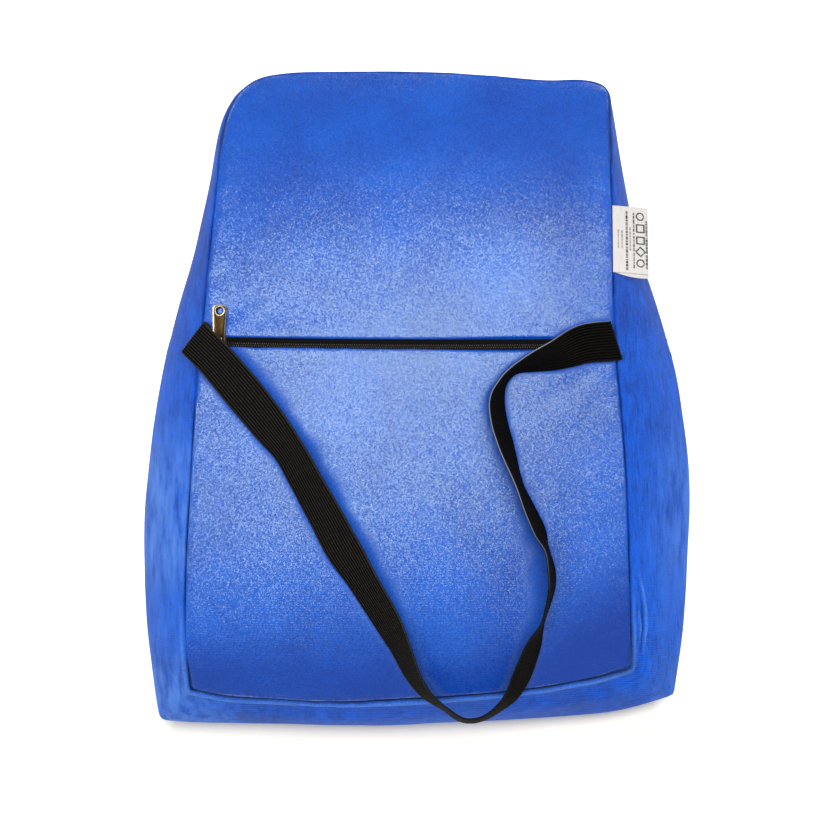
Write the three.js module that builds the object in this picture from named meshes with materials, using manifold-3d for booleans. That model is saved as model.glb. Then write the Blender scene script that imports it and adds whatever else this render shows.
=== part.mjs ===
// A lumbar cushion lying on its front: a foam-filled cover with a crowned rear panel and flared bands,
// a zip across the panel, a slack elastic strap sewn into both side seams and a folded care label.
// Millimetres, +Z up, +Y towards the thin top end, origin on the floor under the middle of the cushion.

import * as THREE from "three";
import { mergeVertices } from "three/addons/utils/BufferGeometryUtils.js";
import loadManifold from "manifold-3d";

const wasm = await loadManifold();
wasm.setup();

// Driving dimensions
const fit = 0.3; // gap between pieces that touch

const body = {
  panelMiddleX: -5,
  panelHalfWidth: 131, // from the middle line to a side seam
  sideDrop: 9, // how far the panel falls from its middle line to a side seam
  sidePower: 3, // how late it falls
  seamDip: 2, // depth of the sewn seams
  seamRoll: 4, // width of the soft roll beside a side seam
  endRoll: 5, // the same beside the top and bottom seams
  edgeHeight: 36, // height of the widest edge above the floor
  bandBulge: 0.085, // of the band's height
  footX: 122, // half sizes of the flat patch that touches the floor
  footY: 150,
  footMiddleY: -22,
  footPower: 4, // roundness of its corners
  columns: 28, // cells of the panel's grid
  lowerRows: 20,
  upperRows: 15,
  tuckRings: 5, // rings between the widest edge and the floor
};

// Rings of the bands, as shares of the way from the seam to the widest edge.
const bandRings = [0.05, 0.13, 0.22, 0.33, 0.46, 0.6, 0.8, 1];

// Long soft folds in the bands: where they run along a side, how far down the band and how deep.
const foldFade = 18; // length over which a fold dies away
const bandFolds = [
  { side: "right", from: -172, to: -98, share: 0.13, spread: 0.07, depth: 2.2 },
  { side: "right", from: -160, to: -110, share: 0.33, spread: 0.1, depth: -1 },
  { side: "bottom", from: -125, to: 125, share: 0.2, spread: 0.1, depth: 1.8 },
  { side: "bottom", from: -110, to: 110, share: 0.5, spread: 0.14, depth: -1.2 },
  { side: "left", from: -170, to: -120, share: 0.15, spread: 0.08, depth: 1.2 },
];

const zip = {
  leftY: 36.5, // where the zip meets the side seams
  rightY: 35.5,
  sag: 1.5,
  width: 6.6,
  thickness: 1.4,
  coilWidth: 3.4,
  coilTop: 2, // flat width on top of the coil
  coilHeight: 0.7,
  slotDepth: 2.8, // the chain lies in a slot between the two halves of the panel
  slotClearance: 0.6,
  slotDraft: 0.3, // slope of the slot's walls
  lip: 2.4, // rolled cloth edge on either side of the slot
  endMargin: 0.018, // share of the zip's length that is sewn into each side seam
  steps: 44,
};

const slider = {
  x: -121.5,
  length: 10,
  width: 8,
  noseWidth: 6.4,
  corner: 1.2,
  plate: 1.4,
  stem: 1.9, // square stem that the pull swings on
  stemHeight: 2.8,
  cap: 0.8,
  capSide: 4.6,
};

const pull = {
  length: 26,
  tipWidth: 9,
  rootWidth: 6.8,
  thickness: 1.6,
  corner: 1.4,
  holeX: 2.15, // half axes of the hole at the tip
  holeY: 2.8,
  holeInset: 4.4, // from the tip to the middle of the hole
  holeSides: 20,
  windowInset: 2.8, // from the root to the middle of the window round the stem
  windowPlay: 0.5,
  rootRise: 0.8, // above the slider's plate, so that the pull can slope down past its edge
  tipClearance: 0.8, // between the tip and the panel
};

const strap = {
  width: 25,
  thickness: 1.5,
  clearance: 0.4, // between the resting edge and the panel
  overhangY: -176, // past this the strap stands out level beyond the bottom seam
  foldRadius: 1.7,
  foldSteps: 5,
  leftTuck: 3, // length under each fold, back to the seam
  rightTuck: 5,
  steps: 110,
};

const label = {
  startX: 124.4,
  reach: 20.5,
  bottomY: 80,
  length: 42,
  layer: 1,
  gap: 0.9,
  slant: -4, // the outer end hangs this far towards the bottom of the cushion
  lift: 0.25, // above the seam
  foldSteps: 6,
  steps: 4,
};

// Height of the panel along its middle line, from the bottom seam to the top seam.
const spine = [
  { y: -190, z: 83 },
  { y: -176, z: 91 },
  { y: -140, z: 100 },
  { y: -70, z: 106 },
  { y: 20, z: 108 },
  { y: 80, z: 105 },
  { y: 130, z: 98 },
  { y: 175, z: 85 },
  { y: 198, z: 74 },
  { y: 210, z: 65 },
];

// Plan of the seam round the rear panel and of the widest edge of the bands, from corner to corner.
const leftSide = [
  { seamX: -141, seamY: -182, edgeX: -167, edgeY: -208 },
  { seamX: -144, seamY: -150, edgeX: -173, edgeY: -163 },
  { seamX: -143, seamY: -100, edgeX: -177, edgeY: -108 },
  { seamX: -140, seamY: -50, edgeX: -175, edgeY: -55 },
  { seamX: -137, seamY: 0, edgeX: -168, edgeY: -2 },
  { seamX: -132, seamY: 51, edgeX: -156, edgeY: 52 },
  { seamX: -128, seamY: 96, edgeX: -141, edgeY: 96 },
  { seamX: -124, seamY: 140, edgeX: -130, edgeY: 139 },
  { seamX: -120, seamY: 174, edgeX: -125, edgeY: 172 },
  { seamX: -116, seamY: 188, edgeX: -121, edgeY: 185 },
  { seamX: -111, seamY: 196, edgeX: -115, edgeY: 193 },
];

const topSide = [
  { seamX: -111, seamY: 196, edgeX: -115, edgeY: 193 },
  { seamX: -102, seamY: 204, edgeX: -104, edgeY: 201 },
  { seamX: -84, seamY: 208, edgeX: -85, edgeY: 205 },
  { seamX: -30, seamY: 209, edgeX: -30, edgeY: 206 },
  { seamX: 20, seamY: 208, edgeX: 20, edgeY: 205 },
  { seamX: 52, seamY: 206, edgeX: 52, edgeY: 203 },
  { seamX: 85, seamY: 203, edgeX: 86, edgeY: 200 },
  { seamX: 110, seamY: 204, edgeX: 112, edgeY: 201 },
  { seamX: 120, seamY: 199, edgeX: 124, edgeY: 196 },
];

const rightSide = [
  { seamX: 135, seamY: -168, edgeX: 167, edgeY: -190 },
  { seamX: 135, seamY: -150, edgeX: 171, edgeY: -164 },
  { seamX: 133, seamY: -100, edgeX: 176, edgeY: -106 },
  { seamX: 131, seamY: -50, edgeX: 177, edgeY: -54 },
  { seamX: 127, seamY: 0, edgeX: 172, edgeY: -2 },
  { seamX: 124, seamY: 31, edgeX: 165, edgeY: 31 },
  { seamX: 123, seamY: 63, edgeX: 155, edgeY: 63 },
  { seamX: 123, seamY: 110, edgeX: 139, edgeY: 110 },
  { seamX: 122, seamY: 155, edgeX: 130, edgeY: 154 },
  { seamX: 122, seamY: 184, edgeX: 126, edgeY: 181 },
  { seamX: 120, seamY: 199, edgeX: 124, edgeY: 196 },
];

const bottomSide = [
  { seamX: -141, seamY: -182, edgeX: -167, edgeY: -208 },
  { seamX: -125, seamY: -186, edgeX: -146, edgeY: -209 },
  { seamX: -94, seamY: -188, edgeX: -100, edgeY: -209 },
  { seamX: -47, seamY: -190, edgeX: -50, edgeY: -210 },
  { seamX: -10, seamY: -188, edgeX: -10, edgeY: -210 },
  { seamX: 35, seamY: -185, edgeX: 35, edgeY: -208 },
  { seamX: 74, seamY: -181, edgeX: 80, edgeY: -205 },
  { seamX: 116, seamY: -174, edgeX: 130, edgeY: -200 },
  { seamX: 135, seamY: -168, edgeX: 167, edgeY: -190 },
];

// The strap from its left fold to its right fold: plan of its middle line, how far it stands up on its
// outer edge (roll, degrees), how far that edge is held off the panel and the slant of its folds (degrees).
const strapRoute = [
  { x: -137, y: 38, roll: 20, lift: 4.6, skew: -6 },
  { x: -123, y: 24, roll: 18, lift: 4.2, skew: 0 },
  { x: -107, y: 5, roll: 10, lift: 2, skew: 0 },
  { x: -90, y: -16, roll: 22, lift: 0, skew: 0 },
  { x: -77, y: -33, roll: 36, lift: 0, skew: 0 },
  { x: -67, y: -51, roll: 35, lift: 0, skew: 0 },
  { x: -55, y: -73, roll: 29, lift: 0, skew: 0 },
  { x: -46, y: -90, roll: 26, lift: 0, skew: 0 },
  { x: -33, y: -111, roll: 39, lift: 0, skew: 0 },
  { x: -17, y: -138, roll: 47, lift: 0, skew: 0 },
  { x: -9, y: -154, roll: 58, lift: 0, skew: 0 },
  { x: -1, y: -172, roll: 67, lift: 0, skew: 0 },
  { x: 7, y: -183, roll: 73, lift: 0, skew: 0 },
  { x: 19, y: -192, roll: 80, lift: 0, skew: 0 },
  { x: 28, y: -198, roll: 79, lift: 0, skew: 0 },
  { x: 35, y: -199, roll: 78, lift: 0, skew: 0 },
  { x: 43, y: -197, roll: 78, lift: 0, skew: 0 },
  { x: 52, y: -191, roll: 75, lift: 0, skew: 0 },
  { x: 60, y: -183, roll: 66, lift: 0, skew: 0 },
  { x: 66, y: -171, roll: 60, lift: 0, skew: 0 },
  { x: 73, y: -152, roll: 65, lift: 0, skew: 0 },
  { x: 79, y: -136, roll: 84, lift: 0, skew: 0 },
  { x: 84, y: -116, roll: 79, lift: 0, skew: 0 },
  { x: 84, y: -107, roll: 78, lift: 0, skew: 0 },
  { x: 81, y: -93, roll: 83, lift: 0, skew: 0 },
  { x: 76, y: -80, roll: 71, lift: 0, skew: 0 },
  { x: 70, y: -67, roll: 73, lift: 0, skew: 0 },
  { x: 64, y: -53, roll: 78, lift: 0, skew: 0 },
  { x: 55, y: -26, roll: 66, lift: 0, skew: 0 },
  { x: 51, y: -12, roll: 65, lift: 0, skew: 0 },
  { x: 50, y: 1, roll: 67, lift: 0, skew: 0 },
  { x: 54, y: 12, roll: 78, lift: 0, skew: 0 },
  { x: 61, y: 19, roll: 78, lift: 0, skew: 0 },
  { x: 71, y: 23, roll: 64, lift: 0.6, skew: 0 },
  { x: 87, y: 28, roll: 42, lift: 1, skew: 0 },
  { x: 105, y: 35, roll: 14, lift: 2.4, skew: 0 },
  { x: 123, y: 37, roll: 6, lift: 4.2, skew: -12 },
];

const velourMaterial = new THREE.MeshStandardMaterial({ color: 0x3d6cc8, roughness: 0.95, metalness: 0 });
const elasticMaterial = new THREE.MeshStandardMaterial({ color: 0x1d1c1b, roughness: 0.85, metalness: 0 });
const coilMaterial = new THREE.MeshStandardMaterial({ color: 0x141416, roughness: 0.6, metalness: 0 });
const brassMaterial = new THREE.MeshStandardMaterial({ color: 0x8a7446, roughness: 0.4, metalness: 1 });
const labelMaterial = new THREE.MeshStandardMaterial({ color: 0xe8e4dc, roughness: 0.6, metalness: 0 });

// Value of a column at a place along a table, on a smooth curve through its rows.
function lookUp(rows, along, place, column) {
  const ends = [rows[0], rows[rows.length - 1]];
  const at = THREE.MathUtils.clamp(place, ends[0][along], ends[1][along]);
  const next = Math.max(1, rows.findIndex((row) => row[along] >= at));
  const slope = (k) => {
    const before = rows[Math.max(0, k - 1)];
    const after = rows[Math.min(rows.length - 1, k + 1)];
    return (after[column] - before[column]) / (after[along] - before[along]);
  };
  const a = rows[next - 1];
  const b = rows[next];
  const span = b[along] - a[along];
  const t = (at - a[along]) / span;
  const rise = b[column] - a[column];
  const fromA = slope(next - 1) * span - rise;
  const fromB = rise - slope(next) * span;
  return a[column] + rise * t + t * (1 - t) * (fromA * (1 - t) + fromB * t);
}

// Height of the filled panel at a place in plan, without its seams.
function panelHeight(x, y) {
  const aside = Math.abs(x - body.panelMiddleX) / body.panelHalfWidth;
  return lookUp(spine, "y", y, "z") - body.sideDrop * aside ** body.sidePower;
}

// Evenly spread shares of a length, with a narrow step of its own at the ends that are asked for.
function shares(count, firstStep, lastStep) {
  const rest = 1 - firstStep - lastStep;
  const spread = Array.from({ length: count + 1 }, (_, i) => firstStep + rest * (i / count));
  return [...(firstStep ? [0] : []), ...spread, ...(lastStep ? [1] : [])];
}

// The seam and the widest edge of one side, as curves that share a parameter.
function sideCurves(name, rows) {
  const seam = new THREE.CatmullRomCurve3(rows.map(({ seamX, seamY }) => new THREE.Vector3(seamX, seamY, 0)));
  const edge = new THREE.CatmullRomCurve3(
    rows.map(({ edgeX, edgeY }) => new THREE.Vector3(edgeX, edgeY, body.edgeHeight)),
  );
  const at = (share) => {
    const t = seam.getUtoTmapping(share);
    return { seam: seam.getPoint(t), edge: edge.getPoint(t) };
  };
  return { name, at };
}

const left = sideCurves("left", leftSide);
const right = sideCurves("right", rightSide);
const bottom = sideCurves("bottom", bottomSide);
const top = sideCurves("top", topSide);

// Share of a side's seam at which it reaches a given y.
function shareAtY(side, y) {
  const halvings = 30;
  let low = 0;
  let high = 1;
  for (let step = 0; step < halvings; step += 1) {
    const middle = (low + high) / 2;
    if (side.at(middle).seam.y < y) low = middle;
    else high = middle;
  }
  return low;
}

// Plan of a line beside the zip's middle line, from the left seam (0) to the right seam (1).
function besideZip(offset) {
  const start = left.at(shareAtY(left, zip.leftY + offset)).seam;
  const end = right.at(shareAtY(right, zip.rightY + offset)).seam;
  return (u) => {
    const point = start.clone().lerp(end, u);
    point.y -= zip.sag * 4 * u * (1 - u);
    return point;
  };
}

const zipLine = besideZip(0);

// A plan point inside four edges, for shares u across and v up.
function insideEdges(low, high, start, end, u, v) {
  const across = low(u).multiplyScalar(1 - v).add(high(u).multiplyScalar(v));
  const upward = start(v).multiplyScalar(1 - u).add(end(v).multiplyScalar(u));
  const cornersLow = low(0).multiplyScalar(1 - u).add(low(1).multiplyScalar(u));
  const cornersHigh = high(0).multiplyScalar(1 - u).add(high(1).multiplyScalar(u));
  const corners = cornersLow.multiplyScalar(1 - v).add(cornersHigh.multiplyScalar(v));
  return across.add(upward).sub(corners);
}

// One half of the panel, between a low and a high line: its row at a share of the way up.
function panelHalf(low, high, lowShares, highShares) {
  const sideShare = (i, v) => THREE.MathUtils.lerp(lowShares[i], highShares[i], v);
  const start = (v) => left.at(sideShare(0, v)).seam;
  const end = (v) => right.at(sideShare(1, v)).seam;
  return (v) => ({
    point: (u) => insideEdges(low, high, start, end, u, v),
    depth: 0,
    sideShares: [sideShare(0, v), sideShare(1, v)],
  });
}

// The rows of the panel's grid, bottom to top: the lower half, the zip's slot, the upper half.
// Each row gives a plan point for a share across, a depth below the panel and its shares of the side seams.
function panelRows() {
  const wall = zip.width / 2 + zip.slotClearance;
  const shoulder = wall + zip.slotDraft;
  const lip = wall + zip.lip;
  const seamShares = (offset) => [shareAtY(left, zip.leftY + offset), shareAtY(right, zip.rightY + offset)];
  const lowerHalf = panelHalf((u) => bottom.at(u).seam, besideZip(-lip), [0, 0], seamShares(-lip));
  const upperHalf = panelHalf(besideZip(lip), (u) => top.at(u).seam, seamShares(lip), [1, 1]);

  const slot = [
    { offset: -shoulder, depth: 0 },
    { offset: -wall, depth: zip.slotDepth },
    { offset: wall, depth: zip.slotDepth },
    { offset: shoulder, depth: 0 },
  ].map(({ offset, depth }) => ({ point: besideZip(offset), depth, sideShares: seamShares(offset) }));

  const lowerLength = zip.leftY - leftSide[0].seamY;
  const upperLength = leftSide[leftSide.length - 1].seamY - zip.leftY;
  return [
    ...shares(body.lowerRows, body.endRoll / lowerLength, 0).map(lowerHalf),
    ...slot,
    ...shares(body.upperRows, 0, body.endRoll / upperLength).map(upperHalf),
  ];
}

// How deep the folds press a band in, at a place along its side and a share of the way down it.
function foldDepth(side, place, share) {
  return bandFolds
    .filter((fold) => fold.side === side)
    .map(({ from, to, share: middle, spread, depth }) => {
      const rising = THREE.MathUtils.smoothstep(place, from - foldFade, from);
      const falling = 1 - THREE.MathUtils.smoothstep(place, to, to + foldFade);
      return depth * rising * falling * Math.exp(-(((share - middle) / spread) ** 2));
    })
    .reduce((sum, depth) => sum + depth, 0);
}

// A point of a band between its seam, its widest edge and the direction that faces outwards there.
function bandPoint({ seam, edge, outward, side, place }, share) {
  const start = seam.clone();
  start.z += body.seamDip;
  const chord = edge.clone().sub(start);
  const away = outward.clone().multiplyScalar(-chord.z);
  away.z = chord.dot(outward);
  const bulge = body.bandBulge * chord.length() * 4 * share * (1 - share) - foldDepth(side, place, share);
  return start.addScaledVector(chord, share).addScaledVector(away.normalize(), bulge);
}

// A point of the tuck between the widest edge and the flat foot, for a share of its quarter turn.
function tuckPoint({ edge }, share) {
  const { footX, footY, footMiddleY, footPower } = body;
  const aside = edge.x / footX;
  const along = (edge.y - footMiddleY) / footY;
  const reach = (Math.abs(aside) ** footPower + Math.abs(along) ** footPower) ** (1 / footPower);
  const foot = new THREE.Vector3((aside / reach) * footX, footMiddleY + (along / reach) * footY, 0);
  const angle = (share * Math.PI) / 2;
  const point = edge.clone().lerp(foot, 1 - Math.cos(angle));
  point.z = edge.z * (1 - Math.sin(angle));
  return point;
}

// The cushion: the panel's grid, the bands round it, the tuck below the widest edge and the flat foot.
function cushionGeometry() {
  const columnStep = body.seamRoll / (2 * body.panelHalfWidth);
  const columns = shares(body.columns, columnStep, columnStep);
  const rows = panelRows();
  const lastRow = rows.length - 1;
  const lastColumn = columns.length - 1;

  const points = [];
  const faces = [];
  const add = (point) => points.push(point) - 1;

  const grid = rows.map((row, r) =>
    columns.map((u, c) => {
      const onSeam = r === 0 || r === lastRow || c === 0 || c === lastColumn;
      const point = row.point(u);
      point.z = panelHeight(point.x, point.y) - (onSeam ? body.seamDip : row.depth);
      return add(point);
    }),
  );
  for (let r = 0; r < lastRow; r += 1) {
    for (let c = 0; c < lastColumn; c += 1) {
      faces.push([grid[r][c], grid[r][c + 1], grid[r + 1][c + 1]]);
      faces.push([grid[r][c], grid[r + 1][c + 1], grid[r + 1][c]]);
    }
  }

  // The seam, anticlockwise from the bottom left corner, each point with its partner on the widest edge.
  const rimEntry = (index, side, share) => ({ index, side, share });
  const rim = [
    ...columns.slice(0, -1).map((u, c) => rimEntry(grid[0][c], bottom, u)),
    ...rows.slice(0, -1).map((row, r) => rimEntry(grid[r][lastColumn], right, row.sideShares[1])),
    ...columns.slice(1).map((u, c) => rimEntry(grid[lastRow][c + 1], top, u)).reverse(),
    ...rows.slice(1).map((row, r) => rimEntry(grid[r + 1][0], left, row.sideShares[0])).reverse(),
  ].map(({ index, side, share }, i, entries) => {
    const seam = points[index];
    const before = points[entries[(i + entries.length - 1) % entries.length].index];
    const after = points[entries[(i + 1) % entries.length].index];
    return {
      index,
      seam,
      edge: side.at(share).edge,
      outward: new THREE.Vector3(after.y - before.y, before.x - after.x, 0).normalize(),
      side: side.name,
      place: side === left || side === right ? seam.y : seam.x,
    };
  });

  let upper = rim.map(({ index }) => index);
  const addRing = (ring) => {
    const lower = ring.map(add);
    lower.forEach((_, i) => {
      const j = (i + 1) % lower.length;
      faces.push([upper[i], lower[i], lower[j]], [upper[i], lower[j], upper[j]]);
    });
    upper = lower;
  };
  bandRings.forEach((share) => addRing(rim.map((entry) => bandPoint(entry, share))));
  for (let ring = 1; ring <= body.tuckRings; ring += 1) {
    addRing(rim.map((entry) => tuckPoint(entry, ring / body.tuckRings)));
  }

  const outline = upper.map((index) => new THREE.Vector2(points[index].x, points[index].y));
  const foot = THREE.ShapeUtils.triangulateShape(outline, []);
  foot.forEach(([a, b, c]) => faces.push([upper[a], upper[c], upper[b]]));
  return meshGeometry(points, faces);
}

// A geometry from shared points and triangles.
function meshGeometry(points, faces) {
  const geometry = new THREE.BufferGeometry();
  geometry.setAttribute("position", new THREE.Float32BufferAttribute(points.flatMap((p) => p.toArray()), 3));
  geometry.setIndex(faces.flat());
  geometry.computeVertexNormals();
  return geometry;
}

// A closed bar through a row of sections, each a list of as many points in the same order.
function barGeometry(sections) {
  const count = sections[0].length;
  const faces = [];
  sections.slice(1).forEach((_, s) => {
    for (let i = 0; i < count; i += 1) {
      const j = (i + 1) % count;
      const [a, b, c, d] = [s * count + i, s * count + j, (s + 1) * count + j, (s + 1) * count + i];
      faces.push([a, b, c], [a, c, d]);
    }
  });
  const end = (sections.length - 1) * count;
  for (let i = 1; i < count - 1; i += 1) {
    faces.push([0, i + 1, i], [end, end + i, end + i + 1]);
  }
  return meshGeometry(sections.flat(), faces);
}

// The zip chain: two tapes with the closed coil along their middle, laid along the bottom of the slot.
function zipGeometry() {
  const half = zip.width / 2;
  const coil = zip.coilWidth / 2;
  const coilTop = zip.coilTop / 2;
  const profile = [
    { offset: -half, height: 0 },
    { offset: half, height: 0 },
    { offset: half, height: zip.thickness },
    { offset: coil, height: zip.thickness },
    { offset: coilTop, height: zip.thickness + zip.coilHeight },
    { offset: -coilTop, height: zip.thickness + zip.coilHeight },
    { offset: -coil, height: zip.thickness },
    { offset: -half, height: zip.thickness },
  ];
  const sections = Array.from({ length: zip.steps + 1 }, (_, i) => {
    const u = zip.endMargin + (1 - 2 * zip.endMargin) * (i / zip.steps);
    const { x, y } = zipLine(u);
    const floor = panelHeight(x, y) - zip.slotDepth + fit;
    return profile.map(({ offset, height }) => new THREE.Vector3(x, y + offset, floor + height));
  });
  return barGeometry(sections);
}

// The strap's frames along its route: the middle, the direction across, half the width and the upper face.
function strapFrames() {
  const plan = new THREE.CatmullRomCurve3(strapRoute.map(({ x, y }) => new THREE.Vector3(x, y, 0)));
  const stance = new THREE.CatmullRomCurve3(
    strapRoute.map(({ roll, lift, skew }) => new THREE.Vector3(roll, lift, skew)),
  );
  const up = new THREE.Vector3(0, 0, 1);

  const frames = Array.from({ length: strap.steps + 1 }, (_, i) => {
    const t = plan.getUtoTmapping(i / strap.steps);
    const stand = stance.getPoint(t);
    const roll = THREE.MathUtils.degToRad(stand.x);
    const skew = THREE.MathUtils.degToRad(stand.z);
    const lift = stand.y;
    const middle = plan.getPoint(t);
    const heading = plan.getTangent(t);
    const half = strap.width / 2 / Math.cos(skew);
    const across = new THREE.Vector3(-heading.y, heading.x, 0).applyAxisAngle(up, -skew);
    across.multiplyScalar(Math.cos(roll)).addScaledVector(up, Math.sin(roll));
    const outerEdge = middle.clone().addScaledVector(across, -half);
    const rest = panelHeight(outerEdge.x, Math.max(outerEdge.y, strap.overhangY));
    const lowest = strap.clearance + (strap.thickness / 2) * Math.cos(roll);
    middle.z = rest + lowest + lift + half * Math.sin(roll);
    return { middle, across, half };
  });
  return frames.map((frame, i) => {
    const before = frames[Math.max(0, i - 1)].middle;
    const after = frames[Math.min(frames.length - 1, i + 1)].middle;
    const heading = after.clone().sub(before).normalize();
    return { ...frame, heading, face: heading.clone().cross(frame.across).normalize() };
  });
}

// A fold at an end of the strap: a half turn away from it, then back under it to the seam.
function strapFold(frame, away, tuck) {
  const turn = Array.from({ length: strap.foldSteps }, (_, i) => {
    const angle = (Math.PI * (i + 1)) / strap.foldSteps;
    const middle = frame.middle.clone();
    middle.addScaledVector(away, strap.foldRadius * Math.sin(angle));
    middle.addScaledVector(frame.face, strap.foldRadius * (Math.cos(angle) - 1));
    const face = frame.face.clone().multiplyScalar(Math.cos(angle)).addScaledVector(away, Math.sin(angle));
    return { ...frame, middle, face };
  });
  const last = turn[turn.length - 1];
  return [...turn, { ...last, middle: last.middle.clone().addScaledVector(away, -tuck) }];
}

// The strap: one ribbon with a fold at each side seam.
function strapGeometry() {
  const frames = strapFrames();
  const first = frames[0];
  const last = frames[frames.length - 1];
  const leftFold = strapFold(first, first.heading.clone().negate(), strap.leftTuck).reverse();
  const rightFold = strapFold(last, last.heading.clone(), strap.rightTuck);
  const corners = [
    { side: -1, layer: -1 },
    { side: 1, layer: -1 },
    { side: 1, layer: 1 },
    { side: -1, layer: 1 },
  ];
  const sections = [...leftFold, ...frames, ...rightFold].map(({ middle, across, face, half }) =>
    corners.map(({ side, layer }) => {
      const corner = middle.clone().addScaledVector(across, side * half);
      return corner.addScaledVector(face, (layer * strap.thickness) / 2);
    }),
  );
  return barGeometry(sections);
}

// The care label: one strip folded in two, its ends in the right seam and its fold hanging outwards.
function labelGeometry() {
  const inner = label.gap / 2;
  const outer = inner + label.layer;
  const straight = label.reach - outer;
  const arc = (radius) =>
    Array.from({ length: label.foldSteps + 1 }, (_, i) => {
      const angle = Math.PI * (i / label.foldSteps - 0.5);
      return { x: straight + radius * Math.cos(angle), z: outer + radius * Math.sin(angle) };
    });
  const profile = [
    { x: 0, z: 0 },
    ...arc(outer),
    { x: 0, z: 2 * outer },
    { x: 0, z: 2 * outer - label.layer },
    ...arc(inner).reverse(),
    { x: 0, z: label.layer },
  ];
  const shape = new THREE.Shape(profile.map(({ x, z }) => new THREE.Vector2(x, z)));
  const options = { depth: label.length, steps: label.steps, bevelEnabled: false };
  const geometry = new THREE.ExtrudeGeometry(shape, options);
  const points = geometry.attributes.position;
  for (let i = 0; i < points.count; i += 1) {
    const x = points.getX(i);
    const y = label.bottomY + label.length - points.getZ(i);
    const height = panelHeight(label.startX, y) - body.seamDip + label.lift;
    points.setXYZ(i, label.startX + x, y + label.slant * (x / label.reach), height + points.getY(i));
  }
  return geometry;
}

// Booleans on closed geometries.
function toSolid(geometry) {
  const bare = geometry.clone();
  bare.deleteAttribute("normal");
  bare.deleteAttribute("uv");
  const merged = mergeVertices(bare);
  const vertProperties = new Float32Array(merged.attributes.position.array);
  const triVerts = new Uint32Array(merged.index.array);
  return new wasm.Manifold(new wasm.Mesh({ numProp: 3, vertProperties, triVerts }));
}

function toGeometry(solid) {
  const { vertProperties, triVerts } = solid.getMesh();
  const geometry = new THREE.BufferGeometry();
  geometry.setAttribute("position", new THREE.BufferAttribute(vertProperties, 3));
  geometry.setIndex(new THREE.BufferAttribute(triVerts, 1));
  geometry.computeVertexNormals();
  return geometry;
}

// A rounded plate that tapers from its root, at the origin, to its tip along +Y.
function taperedPlate(rootWidth, tipWidth, length, thickness, corner) {
  const [root, tip] = [rootWidth / 2, tipWidth / 2];
  const shape = new THREE.Shape();
  shape.moveTo(-root + corner, 0);
  shape.lineTo(root - corner, 0);
  shape.quadraticCurveTo(root, 0, root, corner);
  shape.lineTo(tip, length - corner);
  shape.quadraticCurveTo(tip, length, tip - corner, length);
  shape.lineTo(-tip + corner, length);
  shape.quadraticCurveTo(-tip, length, -tip, length - corner);
  shape.lineTo(-root, corner);
  shape.quadraticCurveTo(-root, 0, -root + corner, 0);
  return new THREE.ExtrudeGeometry(shape, { depth: thickness, bevelEnabled: false, curveSegments: 4 });
}

// Top of the chain's coil at a place across the cushion.
function chainTop(x) {
  const [start, end] = [zipLine(0).x, zipLine(1).x];
  const middle = zipLine((x - start) / (end - start));
  const floor = panelHeight(middle.x, middle.y) - zip.slotDepth + fit;
  return new THREE.Vector3(x, middle.y, floor + zip.thickness + zip.coilHeight);
}

// The slider: a plate on the chain with a capped stem that the pull swings on.
function sliderGeometry() {
  const plate = taperedPlate(slider.noseWidth, slider.width, slider.length, slider.plate, slider.corner);
  plate.rotateZ(-Math.PI / 2).translate(-slider.length / 2, 0, 0);
  const height = slider.plate + slider.stemHeight + slider.cap;
  const stemBottom = slider.plate / 2;
  const stemTop = height - slider.cap / 2;
  const stem = new THREE.BoxGeometry(slider.stem, slider.stem, stemTop - stemBottom);
  stem.translate(0, 0, (stemTop + stemBottom) / 2);
  const cap = new THREE.BoxGeometry(slider.capSide, slider.capSide, slider.cap);
  cap.translate(0, 0, height - slider.cap / 2);
  return toGeometry(toSolid(plate).add(toSolid(stem)).add(toSolid(cap)));
}

// The pull: a tapered plate with a window for the stem at its root and a round-ended hole at its tip.
function pullGeometry() {
  const plate = taperedPlate(pull.rootWidth, pull.tipWidth, pull.length, pull.thickness, pull.corner);
  const through = pull.thickness * 3;
  const hole = new THREE.CylinderGeometry(1, 1, through, pull.holeSides).rotateX(Math.PI / 2);
  hole.scale(pull.holeX, pull.holeY, 1).translate(0, pull.length - pull.holeInset, 0);
  const windowSide = slider.stem + 2 * pull.windowPlay;
  const window = new THREE.BoxGeometry(windowSide, windowSide, through).translate(0, pull.windowInset, 0);
  return toGeometry(toSolid(plate).subtract(toSolid(hole)).subtract(toSolid(window)));
}

// A named piece of the cushion.
function piece(name, geometry, material) {
  const mesh = new THREE.Mesh(geometry, material);
  mesh.name = name;
  return mesh;
}

// The slider and its pull, tilted together with the zip where they sit.
function zipHead() {
  const group = new THREE.Group();
  const [start, end] = [chainTop(slider.x - slider.length / 2), chainTop(slider.x + slider.length / 2)];
  group.position.copy(chainTop(slider.x));
  group.position.z += fit;
  group.rotation.y = -Math.atan2(end.z - start.z, end.x - start.x);

  const pullMesh = piece("zip_pull", pullGeometry(), brassMaterial);
  const tipHeight = panelHeight(slider.x, group.position.y + pull.length) + pull.tipClearance;
  const tipRise = tipHeight - group.position.z;
  pullMesh.position.set(0, -pull.windowInset, slider.plate + pull.rootRise);
  pullMesh.rotation.x = Math.atan2(tipRise - pullMesh.position.z, pull.length);
  group.add(piece("zip_slider", sliderGeometry(), brassMaterial), pullMesh);
  return group;
}

const lumbarCushion = new THREE.Group();
lumbarCushion.add(
  piece("cushion", cushionGeometry(), velourMaterial),
  piece("zip_chain", zipGeometry(), coilMaterial),
  zipHead(),
  piece("strap", strapGeometry(), elasticMaterial),
  piece("care_label", labelGeometry(), labelMaterial),
);

export default lumbarCushion;
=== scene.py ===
import math
from contextlib import contextmanager
from functools import partial

import bmesh
import bpy
import numpy as np
from mathutils import Matrix, Vector, noise
from mathutils.kdtree import KDTree


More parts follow.
